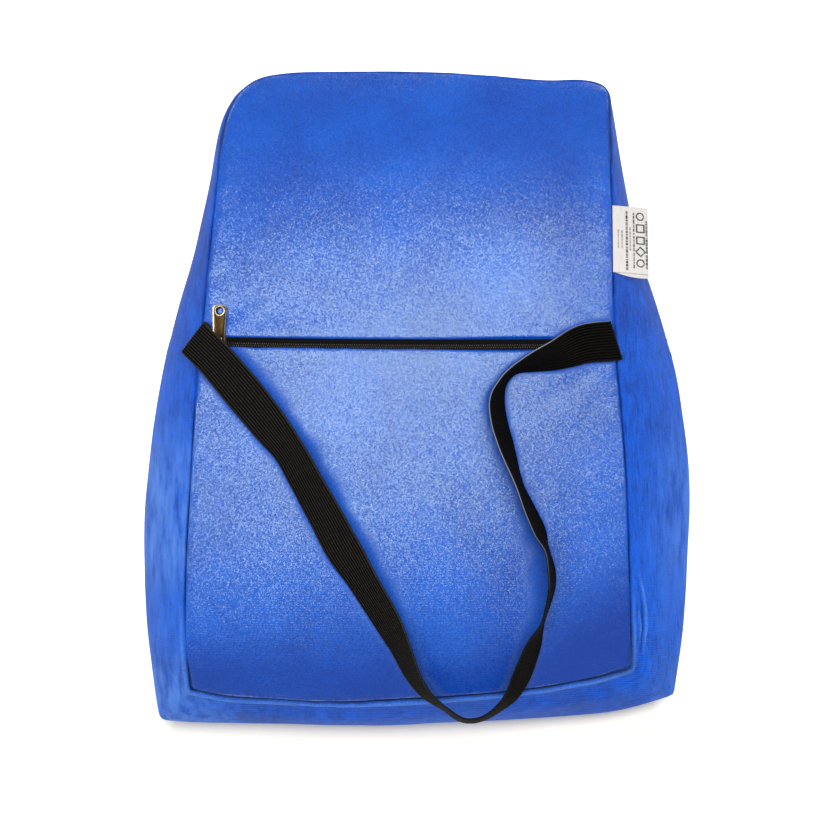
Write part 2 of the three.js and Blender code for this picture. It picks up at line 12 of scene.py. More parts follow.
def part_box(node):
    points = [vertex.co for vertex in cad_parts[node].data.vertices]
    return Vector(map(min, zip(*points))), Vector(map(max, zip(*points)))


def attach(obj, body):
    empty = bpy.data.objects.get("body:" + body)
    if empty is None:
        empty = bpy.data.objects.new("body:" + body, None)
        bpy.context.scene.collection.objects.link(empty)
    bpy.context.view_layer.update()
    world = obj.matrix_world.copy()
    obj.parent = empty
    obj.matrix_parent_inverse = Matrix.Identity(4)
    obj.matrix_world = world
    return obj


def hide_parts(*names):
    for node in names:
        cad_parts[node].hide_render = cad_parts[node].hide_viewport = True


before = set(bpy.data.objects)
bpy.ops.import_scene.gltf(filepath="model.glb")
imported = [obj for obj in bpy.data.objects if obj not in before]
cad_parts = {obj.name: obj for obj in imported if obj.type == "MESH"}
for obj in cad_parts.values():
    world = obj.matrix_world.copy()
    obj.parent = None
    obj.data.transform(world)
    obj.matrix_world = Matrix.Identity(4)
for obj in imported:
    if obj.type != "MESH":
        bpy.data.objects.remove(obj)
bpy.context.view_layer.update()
scene = bpy.context.scene
mm = 0.001

# Camera straight above the rear panel; the cushion lies on its front
cameraSet = {
    "place": (-0.001, -0.0085, 1.605),
    "lens": 105.2,
    "sensor": 36.0,
}

camera = bpy.data.objects.new("camera", bpy.data.cameras.new("camera"))
camera.location = cameraSet["place"]
camera.data.lens = cameraSet["lens"]
camera.data.sensor_width = cameraSet["sensor"]
scene.collection.objects.link(camera)
scene.camera = camera
print("camera placed")


# sRGB hex to linear RGBA
def linearColour(hexValue):
    parts = [int(hexValue[i : i + 2], 16) / 255 for i in (1, 3, 5)]
    return tuple(p / 12.92 if p <= 0.04045 else ((p + 0.055) / 1.055) ** 2.4 for p in parts) + (1.0,)


# Adds a node and gives one of its outputs; inputs are values, hex colours or outputs to link
def addNode(tree, kind, inputs, out=0, **settings):
    node = tree.nodes.new("ShaderNode" + kind)
    for name, value in settings.items():
        setattr(node, name, value)
    for socket, value in inputs.items():
        if isinstance(value, bpy.types.NodeSocket):
            tree.links.new(value, node.inputs[socket])
        else:
            node.inputs[socket].default_value = linearColour(value) if isinstance(value, str) else value
    return node.outputs[out]


# A new empty material, and addNode for its own tree
def newMaterial(name):
    material = bpy.data.materials.new(name)
    material.use_nodes = True
    material.node_tree.nodes.clear()
    return material, partial(addNode, material.node_tree)


# Gives a material its shader, with fixed values and with outputs to link
def finishMaterial(material, inputs, **settings):
    tree = material.node_tree
    shader = addNode(tree, "BsdfPrincipled", inputs, **settings)
    tree.links.new(shader, tree.nodes.new("ShaderNodeOutputMaterial").inputs["Surface"])
    return material


# Selects one object alone and makes it active
def pick(piece):
    bpy.ops.object.select_all(action="DESELECT")
    piece.select_set(True)
    bpy.context.view_layer.objects.active = piece


# A new object from points and faces, at the origin
def newPiece(name, points, faces):
    mesh = bpy.data.meshes.new(name)
    mesh.from_pydata([tuple(p) for p in points], [], faces)
    piece = bpy.data.objects.new(name, mesh)
    scene.collection.objects.link(piece)
    return piece


# Faces of a grid of points, row by row; a closed grid joins its last column to its first
def gridFaces(rows, columns, closed):
    faces = []
    for i in range(0, (rows - 1) * columns, columns):
        for j in range(columns if closed else columns - 1):
            k = (j + 1) % columns
            faces.append((i + j, i + k, i + columns + k, i + columns + j))
    return faces


def applyModifier(piece, kind, **settings):
    modifier = piece.modifiers.new(kind.lower(), kind)
    for name, value in settings.items():
        setattr(modifier, name, value)
    pick(piece)
    bpy.ops.object.modifier_apply(modifier=modifier.name)


def subdivide(piece):
    applyModifier(piece, "SUBSURF", levels=1, render_levels=1)


# Edit mode on one piece, on its vertices, edges or faces; nothing is left selected
@contextmanager
def editing(piece, kind="VERT"):
    pick(piece)
    bpy.ops.object.mode_set(mode="EDIT")
    bpy.ops.mesh.select_mode(type=kind)
    yield
    bpy.ops.mesh.select_mode(type="VERT")
    bpy.ops.mesh.select_all(action="DESELECT")
    bpy.ops.object.mode_set(mode="OBJECT")


# Turns all faces of a closed piece outwards
def turnOutward(piece):
    with editing(piece):
        bpy.ops.mesh.select_all(action="SELECT")
        bpy.ops.mesh.normals_make_consistent(inside=False)


def readPoints(mesh):
    points = np.empty(len(mesh.vertices) * 3, np.float32)
    mesh.vertices.foreach_get("co", points)
    return points.reshape(-1, 3).astype(float)


def readNormals(mesh):
    normals = np.empty(len(mesh.vertices) * 3, np.float32)
    mesh.vertex_normals.foreach_get("vector", normals)
    return normals.reshape(-1, 3).astype(float)


def writePoints(mesh, points):
    mesh.vertices.foreach_set("co", points.astype(np.float32).ravel())
    mesh.update()


def storeValues(mesh, name, values, kind="FLOAT", field="value"):
    attribute = mesh.attributes.new(name, kind, "POINT")
    attribute.data.foreach_set(field, np.asarray(values, np.float32).ravel())


def smoothStep(low, high, values):
    share = np.clip((values - low) / (high - low), 0, 1)
    return share * share * (3 - 2 * share)


def bump(distance, width):
    return np.exp(-((distance / width) ** 2))


# Smooth noise at each point, from -1 to 1, for features of a given size
def unevenness(points, size, seed):
    offset = Vector((seed * 7.3, seed * 3.1, seed * 5.7))
    return np.array([noise.noise(Vector(p) / size + offset) for p in points])


# Finds the nearest of some points
def nearestTree(points):
    tree = KDTree(len(points))
    for i, p in enumerate(points):
        tree.insert(p, i)
    tree.balance()
    return tree


# Distance in plan from each point to a line of (x, y) places
def planDistance(points, line):
    nearest = np.full(len(points), np.inf)
    for start, end in zip(line[:-1], line[1:]):
        start, end = np.array(start), np.array(end)
        step = end - start
        share = np.clip(((points[:, :2] - start) @ step) / (step @ step), 0, 1)
        away = points[:, :2] - start - share[:, None] * step
        nearest = np.minimum(nearest, np.hypot(away[:, 0], away[:, 1]))
    return nearest


# Rows of vertices outwards from a first row, each one edge further on
def rowsFrom(mesh, first):
    neighbours = [[] for _ in mesh.vertices]
    for edge in mesh.edges:
        a, b = edge.vertices
        neighbours[a].append(b)
        neighbours[b].append(a)
    seen, row, rows = set(first), list(first), []
    while row:
        rows.append(row)
        row = [n for n in dict.fromkeys(n for v in row for n in neighbours[v]) if n not in seen]
        seen.update(row)
    return rows


# A working copy of a solid: its loose triangles merged and paired to four-sided faces
def copySolid(node, name):
    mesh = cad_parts[node].data.copy()
    mesh.materials.clear()
    piece = bpy.data.objects.new(name, mesh)
    scene.collection.objects.link(piece)
    with editing(piece):
        bpy.ops.mesh.customdata_custom_splitnormals_clear()
        bpy.ops.mesh.select_all(action="SELECT")
        bpy.ops.mesh.remove_doubles(threshold=0.01 * mm)
        bpy.ops.mesh.tris_convert_to_quads(face_threshold=math.radians(70), shape_threshold=math.radians(90))
    return piece


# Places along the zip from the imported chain: x, y and the bottom of the chain
def zipPlaces():
    points = np.array([v.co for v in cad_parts["zip_chain"].data.vertices])
    places = []
    for x in np.unique(points[:, 0].round(5)):
        section = points[np.abs(points[:, 0] - x) < 0.02 * mm]
        places.append((x, (section[:, 1].min() + section[:, 1].max()) / 2, section[:, 2].min()))
    return np.array(places)


zipLine = zipPlaces()

# Cushion: foam in a sewn velour cover. Lengths are in mm, and places are x and y in plan.
coverSet = {
    "rowsToSeam": 13,  # rows of faces from the foot up to the rear panel's seam
    "seamWidth": 0.8,  # the seam is split into three lines this far apart
    "footHeight": 0.5,  # what lies lower is the foot
    "footSpan": 36,
    "edgeCrease": 0.9,  # along the panel's edge
    "corner": (118, 193, 0.8),  # the panel's crisp top right corner, and its crease
    "mitres": [(-141, -182, 0.1), (135, -168, 0.9)],  # lower corners, and how sharp their ridges end
    "mitreCrease": 0.7,
    "mitreEnd": 3,  # rows above the foot that the ridges don't reach
    "panelAbove": 60,  # heights above which the panel's edge, the sharp folds and the zip's lips are shaped
    "foldsAbove": 45,
    "zipAbove": 80,
    "slotHalf": 5.0,  # the zip's slot and its lips stay as sewn
    "shrink": (1.6, 1.0),  # panel and bands start this much smaller and swell back
    "fade": 14.0,  # over which it shrinks beside a seam
    "frames": 20,
    "cap": 3.0,  # the most that a point may swell
    "groove": (1.6, 0.9, 0.7),  # depth of the sewn seam, its place on the bands' side and half width
    "drawn": (0.75, 30.0, 0.3),  # mean share by which it is drawn in, length of its changes and least share
    "lowerSeam": (-150, -175),  # y between which it becomes the lower seam
    "lowerDraw": (0.5, 0.4),  # how much deeper and broader the groove is there
    "gaps": (112, 140, 1.5),  # from here out and up the top corners gape, and how far the gap is drawn out
    "gapFade": (8, 25),
    "bandRoll": (1.1, 3.4, 1.7),  # height of the bands' ridge beside the lower seam, its place and half width
    "rollRise": (-110, -165),  # y between which that ridge rises
    "pucker": (0.5, 9.0, 8.0),  # height of the gathers along the seam, their length and reach
    "panelWaves": (0.5, 60.0),  # height and size of the soft unevenness
    "bandWaves": (0.7, 38.0),
    "edgeFill": (1.3, 3.2, 36.0, 14.0),  # more filling at left and right of the widest edge, height and reach
    "fillRise": 160,  # x at which the filling has grown from left to right
    "foldEnds": 12,  # over which a sharp fold runs out
    "zipLips": (1.2, 1.7),  # how far the upper and lower lips of the cloth close over the zip's tapes
    "lipPlace": (4.6, 1.8),  # from the middle of the zip, and half width
    "lipRise": (0.8, 2.2),  # height above the chain's bottom over which the lips begin
    "lipWaves": (0.3, 14.0),
    "zipOpens": (0.6, 60),  # the lips close by this share less at the right, from x 0 to here
    "edgeLift": (1.05, 1.9),  # how far the panel's edge stands up beside the seam, and its reach
    "strapSewn": (38, 26),  # y at which the strap is sewn in, and the reach in which the edge isn't lifted
    "cornerSag": (134, -165, 5.0, 42.0),  # place of the slack lower right corner, its depth and reach
    "sagRise": (40, 85),  # height over which the sag begins
    "slackGape": (0.8, 14),  # how far the seam gapes at that corner, and the reach
    "cornerPull": (117, 191, 3.0, 9.0),  # the top right corner, how far it is poked out and over what reach
    "pullWay": (0.6, 0.8),
}

# How the cover's cloth behaves while it is filled
clothSet = {
    "quality": 6,
    "mass": 0.3,
    "tension_stiffness": 20,
    "compression_stiffness": 20,
    "shear_stiffness": 8,
    "bending_stiffness": 0.6,
    "vertex_group_mass": "sewn",
    "use_pressure": True,
    "uniform_pressure_force": 4.0,
}

# Sharp little folds: plan in mm, height (less than 0 is a valley) and half width in mm
foldSet = [
    {"line": [(140, -109), (143, -121), (145, -133), (145.5, -144), (144, -160)],
     "height": 1.4, "width": 0.9},
    {"line": [(142, -121), (143.3, -133), (143.6, -144), (142.5, -158)], "height": -0.9, "width": 0.8},
    {"line": [(140.5, -133), (142, -142), (142, -154)], "height": 1.0, "width": 0.8},
    {"line": [(114, -149), (125, -151), (132, -157)], "height": 0.5, "width": 4.2},
]
foldFaces = 5  # mm, faces this near to a fold are made finer
narrowFold = 2  # mm, only ridges narrower than this get a painted highlight


def coverRows(cover):
    foot = coverSet["footHeight"] * mm
    return rowsFrom(cover.data, [v.index for v in cover.data.vertices if v.co.z < foot])


# Splits the panel's seam into three close lines, so that its edge stays crisp when the cover is subdivided
def splitSeam(cover):
    seam = set(coverRows(cover)[coverSet["rowsToSeam"]])
    for edge in cover.data.edges:
        edge.select = edge.vertices[0] in seam and edge.vertices[1] in seam
    with editing(cover, "EDGE"):
        bpy.ops.mesh.bevel(offset=coverSet["seamWidth"] * mm, segments=2, profile=1.0, affect="EDGES")


# The vertex of a row that is nearest to a place in plan
def nearestInRow(mesh, row, x, y):
    spot = Vector((x * mm, y * mm))
    return min(row, key=lambda v: (mesh.vertices[v].co.xy - spot).length)


# Creases the panel's edge, its crisp corner and the lines that run down the bands from its lower corners
def creaseEdges(cover):
    mesh = cover.data
    rows = coverRows(cover)
    firstLine = coverSet["rowsToSeam"]
    edgeLine = firstLine + 2  # the last of the seam's three lines is the panel's edge
    edges = {tuple(sorted(e.vertices)): e.index for e in mesh.edges}
    creases = mesh.attributes.new("crease_edge", "FLOAT", "EDGE")
    panelEdge = set(rows[edgeLine])
    for pair, index in edges.items():
        if panelEdge.issuperset(pair):
            creases.data[index].value = coverSet["edgeCrease"]
    x, y, sharp = coverSet["corner"]
    corners = mesh.attributes.new("crease_vert", "FLOAT", "POINT")
    for row in rows[firstLine - 1 : edgeLine + 1]:
        corners.data[nearestInRow(mesh, row, x, y)].value = sharp
    for x, y, sharp in coverSet["mitres"]:
        corner = nearestInRow(mesh, rows[edgeLine], x, y)
        lines = rows[edgeLine - 1 : coverSet["mitreEnd"] : -1]
        for i, row in enumerate(lines):
            below = next(v for v in row if tuple(sorted((v, corner))) in edges)
            fading = 1 + (sharp - 1) * i / len(lines)
            creases.data[edges[tuple(sorted((below, corner)))]].value = coverSet["mitreCrease"] * fading
            corner = below


def markRows(cover):
    points = readPoints(cover.data)
    rows = coverRows(cover)
    seamRow = coverSet["rowsToSeam"] + 1
    seam = cover.vertex_groups.new(name="seam")
    band = cover.vertex_groups.new(name="band")
    sewn = cover.vertex_groups.new(name="sewn")
    seam.add(rows[seamRow], 1.0, "REPLACE")
    band.add([v for row in rows[:seamRow] for v in row], 1.0, "REPLACE")
    band.add(rows[seamRow], 0.5, "REPLACE")
    zipY = np.interp(points[:, 0], zipLine[:, 0], zipLine[:, 1])
    inSlot = np.abs(points[:, 1] - zipY) < coverSet["slotHalf"] * mm
    inSlot &= points[:, 2] > coverSet["zipAbove"] * mm
    onPanel = {v for row in rows[seamRow:] for v in row}
    sewn.add([int(v) for v in np.flatnonzero(inSlot) if v in onPanel], 1.0, "REPLACE")
    sewn.add(rows[seamRow - 1] + rows[seamRow] + rows[seamRow + 1] + rows[0], 1.0, "REPLACE")


def groupWeights(piece, name):
    index = piece.vertex_groups[name].index
    return np.array([sum(g.weight for g in v.groups if g.group == index) for v in piece.data.vertices])


# Refills the flat foot with an even grid
def regridFoot(cover):
    foot = coverSet["footHeight"] * mm
    for face in cover.data.polygons:
        face.select = all(cover.data.vertices[v].co.z < foot for v in face.vertices)
    with editing(cover, "FACE"):
        bpy.ops.mesh.delete(type="FACE")
        bpy.ops.mesh.select_mode(type="EDGE")
        bpy.ops.mesh.select_non_manifold()
        bpy.ops.mesh.fill_grid(span=coverSet["footSpan"], use_interp_simple=True)
    turnOutward(cover)


# Fills the cover: it starts a little small and the cloth swells until the cap holds it
def fillCover(cover):
    mesh = cover.data
    full = readPoints(mesh)
    held = nearestTree(full[groupWeights(cover, "sewn") > 0.99])
    away = np.array([held.find(p)[2] for p in full])
    panelShrink, bandShrink = coverSet["shrink"]
    band = groupWeights(cover, "band")
    shrink = (panelShrink * (1 - band) + bandShrink * band) * mm * smoothStep(0, coverSet["fade"] * mm, away)
    start = full - readNormals(mesh) * shrink[:, None]
    writePoints(mesh, start)

    cloth = cover.modifiers.new("filling", "CLOTH")
    for name, value in clothSet.items():
        setattr(cloth.settings, name, value)
    cloth.settings.effector_weights.gravity = 0
    cloth.collision_settings.use_collision = False
    cloth.point_cache.frame_end = coverSet["frames"]
    for step in range(1, coverSet["frames"] + 1):
        scene.frame_set(step)
    pick(cover)
    bpy.ops.object.modifier_apply(modifier="filling")
    scene.frame_set(1)

    moved = readPoints(mesh) - start
    far = np.linalg.norm(moved, axis=1)
    most = coverSet["cap"] * mm
    moved *= np.minimum(1, most / np.maximum(far, 1e-9))[:, None]
    writePoints(mesh, start + moved)
    print("cushion filled, swollen by", round(float(far.max()) * 1000, 1), "mm before the cap")


# Distance of each point from the panel's seam, and how far along the seam that is
def alongSeam(cover, points):
    ring = points[groupWeights(cover, "seam") > 0.99]
    middle = ring.mean(axis=0)
    ring = ring[np.argsort(np.arctan2(ring[:, 0] - middle[0], middle[1] - ring[:, 1]))]
    line = np.concatenate([ring, ring[:1]])
    steps = np.linalg.norm(np.diff(line, axis=0), axis=1)
    starts = np.concatenate([[0], np.cumsum(steps)[:-1]])
    quarters = (0, 0.25, 0.5, 0.75)
    fine = np.concatenate([line[:-1] * (1 - s) + line[1:] * s for s in quarters])
    lengths = np.concatenate([starts + s * steps for s in quarters])
    tree = nearestTree(fine)
    found = [tree.find(p) for p in points]
    return np.array([f[2] for f in found]), lengths[[f[1] for f in found]]


# Finer faces where the sharp little folds go
def refineFolds(cover):
    mesh = cover.data
    middles = np.array([f.center for f in mesh.polygons]) / mm
    near = np.full(len(middles), np.inf)
    for fold in foldSet:
        near = np.minimum(near, planDistance(middles, fold["line"]))
    for face, close in zip(mesh.polygons, (near < foldFaces) & (middles[:, 2] > coverSet["foldsAbove"])):
        face.select = bool(close)
    with editing(cover, "FACE"):
        bpy.ops.mesh.subdivide(number_cuts=2, smoothness=0)


# Seam grooves, gathers, folds, zip lips and lifted edges, after the filling; everything here is in mm
def sewCover(cover):
    c = coverSet
    mesh = cover.data
    points = readPoints(mesh) / mm
    x, y, z = points.T
    band = groupWeights(cover, "band")
    panel = 1 - smoothStep(0.3, 0.7, band)
    d, along = alongSeam(cover, points)
    side = np.where(band > 0.5, d, -d)  # more than 0 on the bands

    # Sewn seam: deepest along the bottom, gaping at the top corners and at the slack one
    slackX, slackY, sag, reach = c["cornerSag"]
    away = np.hypot(x - slackX, y - slackY)
    sagAndShade = bump(away, reach)
    out, up, wider = c["gaps"]
    outFade, upFade = c["gapFade"]
    gape = smoothStep(out - outFade, out, np.abs(x)) * smoothStep(up, up + upFade, y)
    share, reach = c["slackGape"]
    gape = np.maximum(gape, share * bump(away, reach))
    lower = smoothStep(*c["lowerSeam"], y)
    mean, size, least = c["drawn"]
    drawn = np.clip(mean + unevenness(np.stack([along, 0 * along, 0 * along], axis=1), size, 6), least, 1)
    depth, place, width = c["groove"]
    deeper, broader = c["lowerDraw"]
    sunk = bump(side - place - wider * gape, width * (1 + broader * lower) + wider * gape)
    sunk *= np.maximum(drawn, np.maximum(lower, gape))
    move = -depth * (1 + deeper * lower) * sunk

    # Ridge of the bands, gathers, soft waves and the filling along the widest edge
    height, place, width = c["bandRoll"]
    ridgeAndHighlight = bump(side - place, width) * smoothStep(*c["rollRise"], y)
    move += height * ridgeAndHighlight
    height, size, reach = c["pucker"]
    gathers = unevenness(np.stack([along, d / 4, 0 * along], axis=1), size, 1)
    move += height * gathers * bump(d, reach) * (1 - bump(d, 1.0))
    height, size = c["panelWaves"]
    move += height * unevenness(points, size, 2) * panel
    height, size = c["bandWaves"]
    shown = smoothStep(0, 40, z) * smoothStep(0, 8, d)  # not at the foot or beside the seam
    move += height * unevenness(points, size, 3) * (1 - panel) * shown
    atLeft, atRight, place, width = c["edgeFill"]
    filled = atLeft + (atRight - atLeft) * smoothStep(0, c["fillRise"], x)
    move += filled * bump(z - place, width) * (1 - panel)

    ridgeHighlights, valleyShade = np.zeros(len(points)), np.zeros(len(points))
    for fold in foldSet:
        start, end = np.array(fold["line"][0]), np.array(fold["line"][-1])
        ends = min(np.hypot(*(end - start)) / 2, c["foldEnds"])
        fromEnds = np.minimum(np.hypot(*(points[:, :2] - start).T), np.hypot(*(points[:, :2] - end).T))
        near = bump(planDistance(points, fold["line"]), fold["width"])
        near *= (0.35 + 0.65 * smoothStep(0, ends, fromEnds)) * (z > c["foldsAbove"])
        move += fold["height"] * near
        ridgeHighlights = np.maximum(ridgeHighlights, near * (fold["height"] > 0) * (fold["width"] < narrowFold))
        valleyShade = np.maximum(valleyShade, near * (fold["height"] < 0))

    # Lips of the cloth that close over the zip
    zipX, zipY, zipZ = zipLine.T / mm
    beside = y - np.interp(x, zipX, zipY)
    above = z - np.interp(x, zipX, zipZ)
    downward, upward = c["zipLips"]
    place, width = c["lipPlace"]
    closing = np.where(beside > 0, -downward, upward) * bump(np.abs(beside) - place, width)
    closing *= smoothStep(*c["lipRise"], above) * panel * (z > c["zipAbove"])
    height, size = c["lipWaves"]
    closing *= 1 + height * unevenness(points, size, 7)
    share, reach = c["zipOpens"]
    closing *= 1 - share * smoothStep(0, reach, x)

    points = points + readNormals(mesh) * move[:, None]
    x, y, z = points.T  # views, so what follows moves the points
    y += closing
    height, reach = c["edgeLift"]
    sewnAt, width = c["strapSewn"]
    z += height * np.exp(-d / reach) * panel * (1 - bump(y - sewnAt, width)) * (z > c["panelAbove"])
    z -= sag * sagAndShade * smoothStep(*c["sagRise"], z)
    cornerX, cornerY, far, reach = c["cornerPull"]
    poked = far * bump(np.hypot(x - cornerX, y - cornerY), reach) * (z > c["panelAbove"])
    points[:, :2] += poked[:, None] * c["pullWay"]
    writePoints(mesh, points * mm)
    storeValues(mesh, "bandShare", smoothStep(0, 0.12, band))
    # Painted shade in the sagging lower right corner of the panel
    storeValues(mesh, "sagAndShade", sagAndShade * panel)
    # Painted shade in the seam's groove, deeper along the lower seam and at the gaping corners, and in the
    # fold valleys
    storeValues(mesh, "seamNear", np.maximum(sunk, 0.6 * valleyShade))
    # Painted highlight along the bands' ridge below the lower seam and along the narrow fold ridges
    storeValues(mesh, "ridgeAndHighlight", np.maximum(ridgeAndHighlight, ridgeHighlights))
    storeValues(mesh, "flow", np.stack([along, d, 0 * along], axis=1) * mm, "FLOAT_VECTOR", "vector")


cover = copySolid("cushion", "cushionCover")
regridFoot(cover)
splitSeam(cover)
creaseEdges(cover)
markRows(cover)
subdivide(cover)
fillCover(cover)
subdivide(cover)
refineFolds(cover)
sewCover(cover)
pick(cover)
bpy.ops.object.shade_smooth_by_angle(angle=math.radians(40))
print("cushion sewn,", len(cover.data.polygons), "faces")

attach(cover, "root")
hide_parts("cushion")

# Velour: knitted pile cloth, dyed royal blue and brushed. The pile gives a broad white gloss where it mirrors
# the light overhead, bright grains in that gloss, cloudy brushed patches, and a duller nap on the bands.
velourSet = {
    "deep": "#043ca8",
    "bright": "#0f6fee",
    # painted shade in the seam's groove, at its gaping corners and in the fold valleys
    "sewn": "#02123c",
    "bands": "#0a67ee",  # brightest tone on the bands
    "paleHighlight": "#5a92f4",  # painted sheen in streaks on the bands' pile, and painted highlight on ridges and narrow folds
    "tuft": 0.55,  # mm
    "clump": 13.0,  # mm, cloudy patches where the pile leans another way
    "brush": 65.0,  # mm, patches that were stroked one way
    "stroke": (6.0, 26.0, 12.0),  # mm, width, length and depth of the strokes on the bands
    "thread": (14.0, 1.1),  # mm, length and width of the brushed lines that follow the seam round the bands
    "knit": 1.55,  # mm, knitted rows that show through where the cloth is stretched
    "lean": 0.28,  # how far single tufts lean away from the cloth's normal
    "gloss": (0.31, 0.37, 0.95),  # roughness of the panel's bright and dull tufts, and of the bands
    "matt": 0.03,  # band share from which a face has the stretched velour
}


def velourMaterial(name, mirrored):
    material, add = newMaterial(name)
    v = velourSet
    place = add("TexCoord", {}, "Object")
    aside, along, _ = add("SeparateXYZ", {"Vector": place}).node.outputs
    band, seam, ridgeAndHighlight, pressed, sagAndShade = (
        add("Attribute", {}, "Fac", attribute_name=each)
        for each in ("bandShare", "seamNear", "ridgeAndHighlight", "pressed", "sagAndShade"))
    flow = add("Attribute", {}, "Vector", attribute_name="flow")
    cells = add("TexVoronoi", {"Vector": place, "Scale": 1000 / v["tuft"]}).node.outputs
    tufts = add("SeparateColor", {"Color": cells["Color"]}, "Red")
    clumps = add("TexNoise", {"Vector": place, "Scale": 1000 / v["clump"], "Detail": 1.0})
    brushed = add("TexNoise", {"Vector": place, "Scale": 1000 / v["brush"], "Detail": 4.0, "Roughness": 0.55})
    drawn = add("Mapping", {"Vector": place, "Scale": [1000 / size for size in v["stroke"]]})
    strokes = add("TexNoise", {"Vector": drawn, "Scale": 1.0, "Detail": 4.0, "Roughness": 0.65})
    drawn = add("Mapping", {"Vector": flow, "Scale": [1000 / size for size in v["thread"]] + [1]})
    threads = add("TexNoise", {"Vector": drawn, "Scale": 1.0, "Detail": 2.0, "Roughness": 0.6})
    knit = add("TexWave", {
        "Vector": place, "Scale": 100 * math.pi / v["knit"], "Distortion": 0.5, "Detail": 1.0},
        "Fac", wave_type="BANDS", bands_direction="Y")

    # Soft steps: what each follows, from and to, and its value there; places are in m
    bright, plain, matt = v["gloss"]
    steps = {
        "stretched": (along, -0.06, -0.16, 0.0, 1.0),
        "brushedTone": (brushed, 0.3, 0.7, -0.1, 0.35),
        "strokeTone": (strokes, 0.35, 0.65, 0.1, 0.5),
        "threadTone": (threads, 0.3, 0.7, -0.45, 0.35),
        "left": (aside, -0.1, -0.15, 0.0, 1.0),
        "right": (aside, 0.14, 0.17, 0.0, 0.6),
        "upper": (along, 0.0, 0.05, 0.0, 1.0),
        "lowDown": (along, 0.0, -0.05, 0.0, 1.0),
        # painted shade: darker towards the bottom
        "bottom": (along, -0.14, -0.17, 0.0, 1.0),
        "calm": (along, -0.095, -0.125, 1.0, 0.3),
        "corner": (along, -0.15, -0.175, 0.0, 1.0),
        "sheenStreaks": (strokes, 0.3, 0.65, 0.0, 0.85),
        "fuzz": (tufts, 0.0, 1.0, 0.4, 1.0),
        "tuftGloss": (tufts, 0.0, 1.0, plain, bright),
    }
    step = {each: add("MapRange", dict(enumerate(values))) for each, values in steps.items()}
    rows, upperBand, strokeHeight, threadHeight, highlightedRidges = (
        add("Math", {0: value, 1: mask}, operation="MULTIPLY")
        for value, mask in ((knit, step["stretched"]), (step["upper"], band), (strokes, band),
                            (threads, band), (ridgeAndHighlight, step["fuzz"])))
    bandRows = add("Math", {0: rows, 1: band}, operation="MULTIPLY")
    flank, calm, flat = (
        add("Math", {0: one, 1: other}, operation="MAXIMUM")
        for one, other in ((step["left"], step["right"]), (step["calm"], step["corner"]), (band, pressed)))

    # Colour: brushed patches, strokes on the bands, knitted rows low down and single tufts; painted shade
    # towards the bottom and in the sagging lower right corner, and darker on the upper bands; painted sheen
    # in streaks on the lower side bands and painted highlights on ridges; painted shade in the seam and fold
    # valleys
    tone = step["brushedTone"]
    for value, share in ((step["strokeTone"], band), (step["threadTone"], band), (tufts, 0.5), (rows, 0.08),
                         (bandRows, 0.35), (step["bottom"], -0.35), (sagAndShade, -0.8), (upperBand, -0.28)):
        tone = add("Math", {0: value, 1: share, 2: tone}, operation="MULTIPLY_ADD")
    # Painted sheen: pale streaks on the lower left and right bands
    sheenStreaks = step["sheenStreaks"]
    for mask in (flank, band, step["lowDown"], calm):
        sheenStreaks = add("Math", {0: sheenStreaks, 1: mask}, operation="MULTIPLY")
    # Painted highlight on the bands' ridge and the narrow fold ridges, in the same pale colour
    sheenStreaks = add("Math", {0: sheenStreaks, 1: highlightedRidges}, operation="MAXIMUM")
    brightest = add("Mix", {"Factor": band, 6: v["bright"], 7: v["bands"]}, 2, data_type="RGBA")
    colour = v["deep"]
    for share, over in ((tone, brightest), (sheenStreaks, v["paleHighlight"]), (seam, v["sewn"])):
        colour = add("Mix", {"Factor": share, 6: colour, 7: over}, 2, data_type="RGBA")
    dull = add("Mix", {"Factor": flat, 2: step["tuftGloss"], 3: matt})

    # Height in mm: tufts over shallow clumps everywhere, strokes on the bands and knitted rows low down
    height = add("Math", {0: cells["Distance"], 1: -0.03}, operation="MULTIPLY")
    for value, share in ((clumps, 0.12), (strokeHeight, 0.4), (threadHeight, 0.3), (rows, 0.02),
                         (bandRows, 0.06)):
        height = add("Math", {0: value, 1: share, 2: height}, operation="MULTIPLY_ADD")
    relief = add("Bump", {"Height": height, "Strength": 1.0, "Distance": mm})
    lean = add("VectorMath", {
        0: cells["Color"], 1: [v["lean"]] * 3, 2: [-v["lean"] / 2] * 3}, operation="MULTIPLY_ADD")
    normal = add("VectorMath", {0: relief, 1: lean}, operation="ADD")
    normal = add("VectorMath", {0: normal}, operation="NORMALIZE")
    return finishMaterial(material, {
        "Base Color": colour, "Roughness": dull, "Normal": normal, "IOR": 1.63,
        "Specular IOR Level": mirrored, "Specular Tint": "#ebffe4"}, distribution="GGX")


cover.data.materials.append(velourMaterial("brushed velour", 1.0))
cover.data.materials.append(velourMaterial("stretched velour", 0.55))  # on the bands the pile mirrors less
bandWeights = groupWeights(cover, "band")
for face in cover.data.polygons:
    share = sum(bandWeights[v] for v in face.vertices) / len(face.vertices)
    face.material_index = int(share > velourSet["matt"])

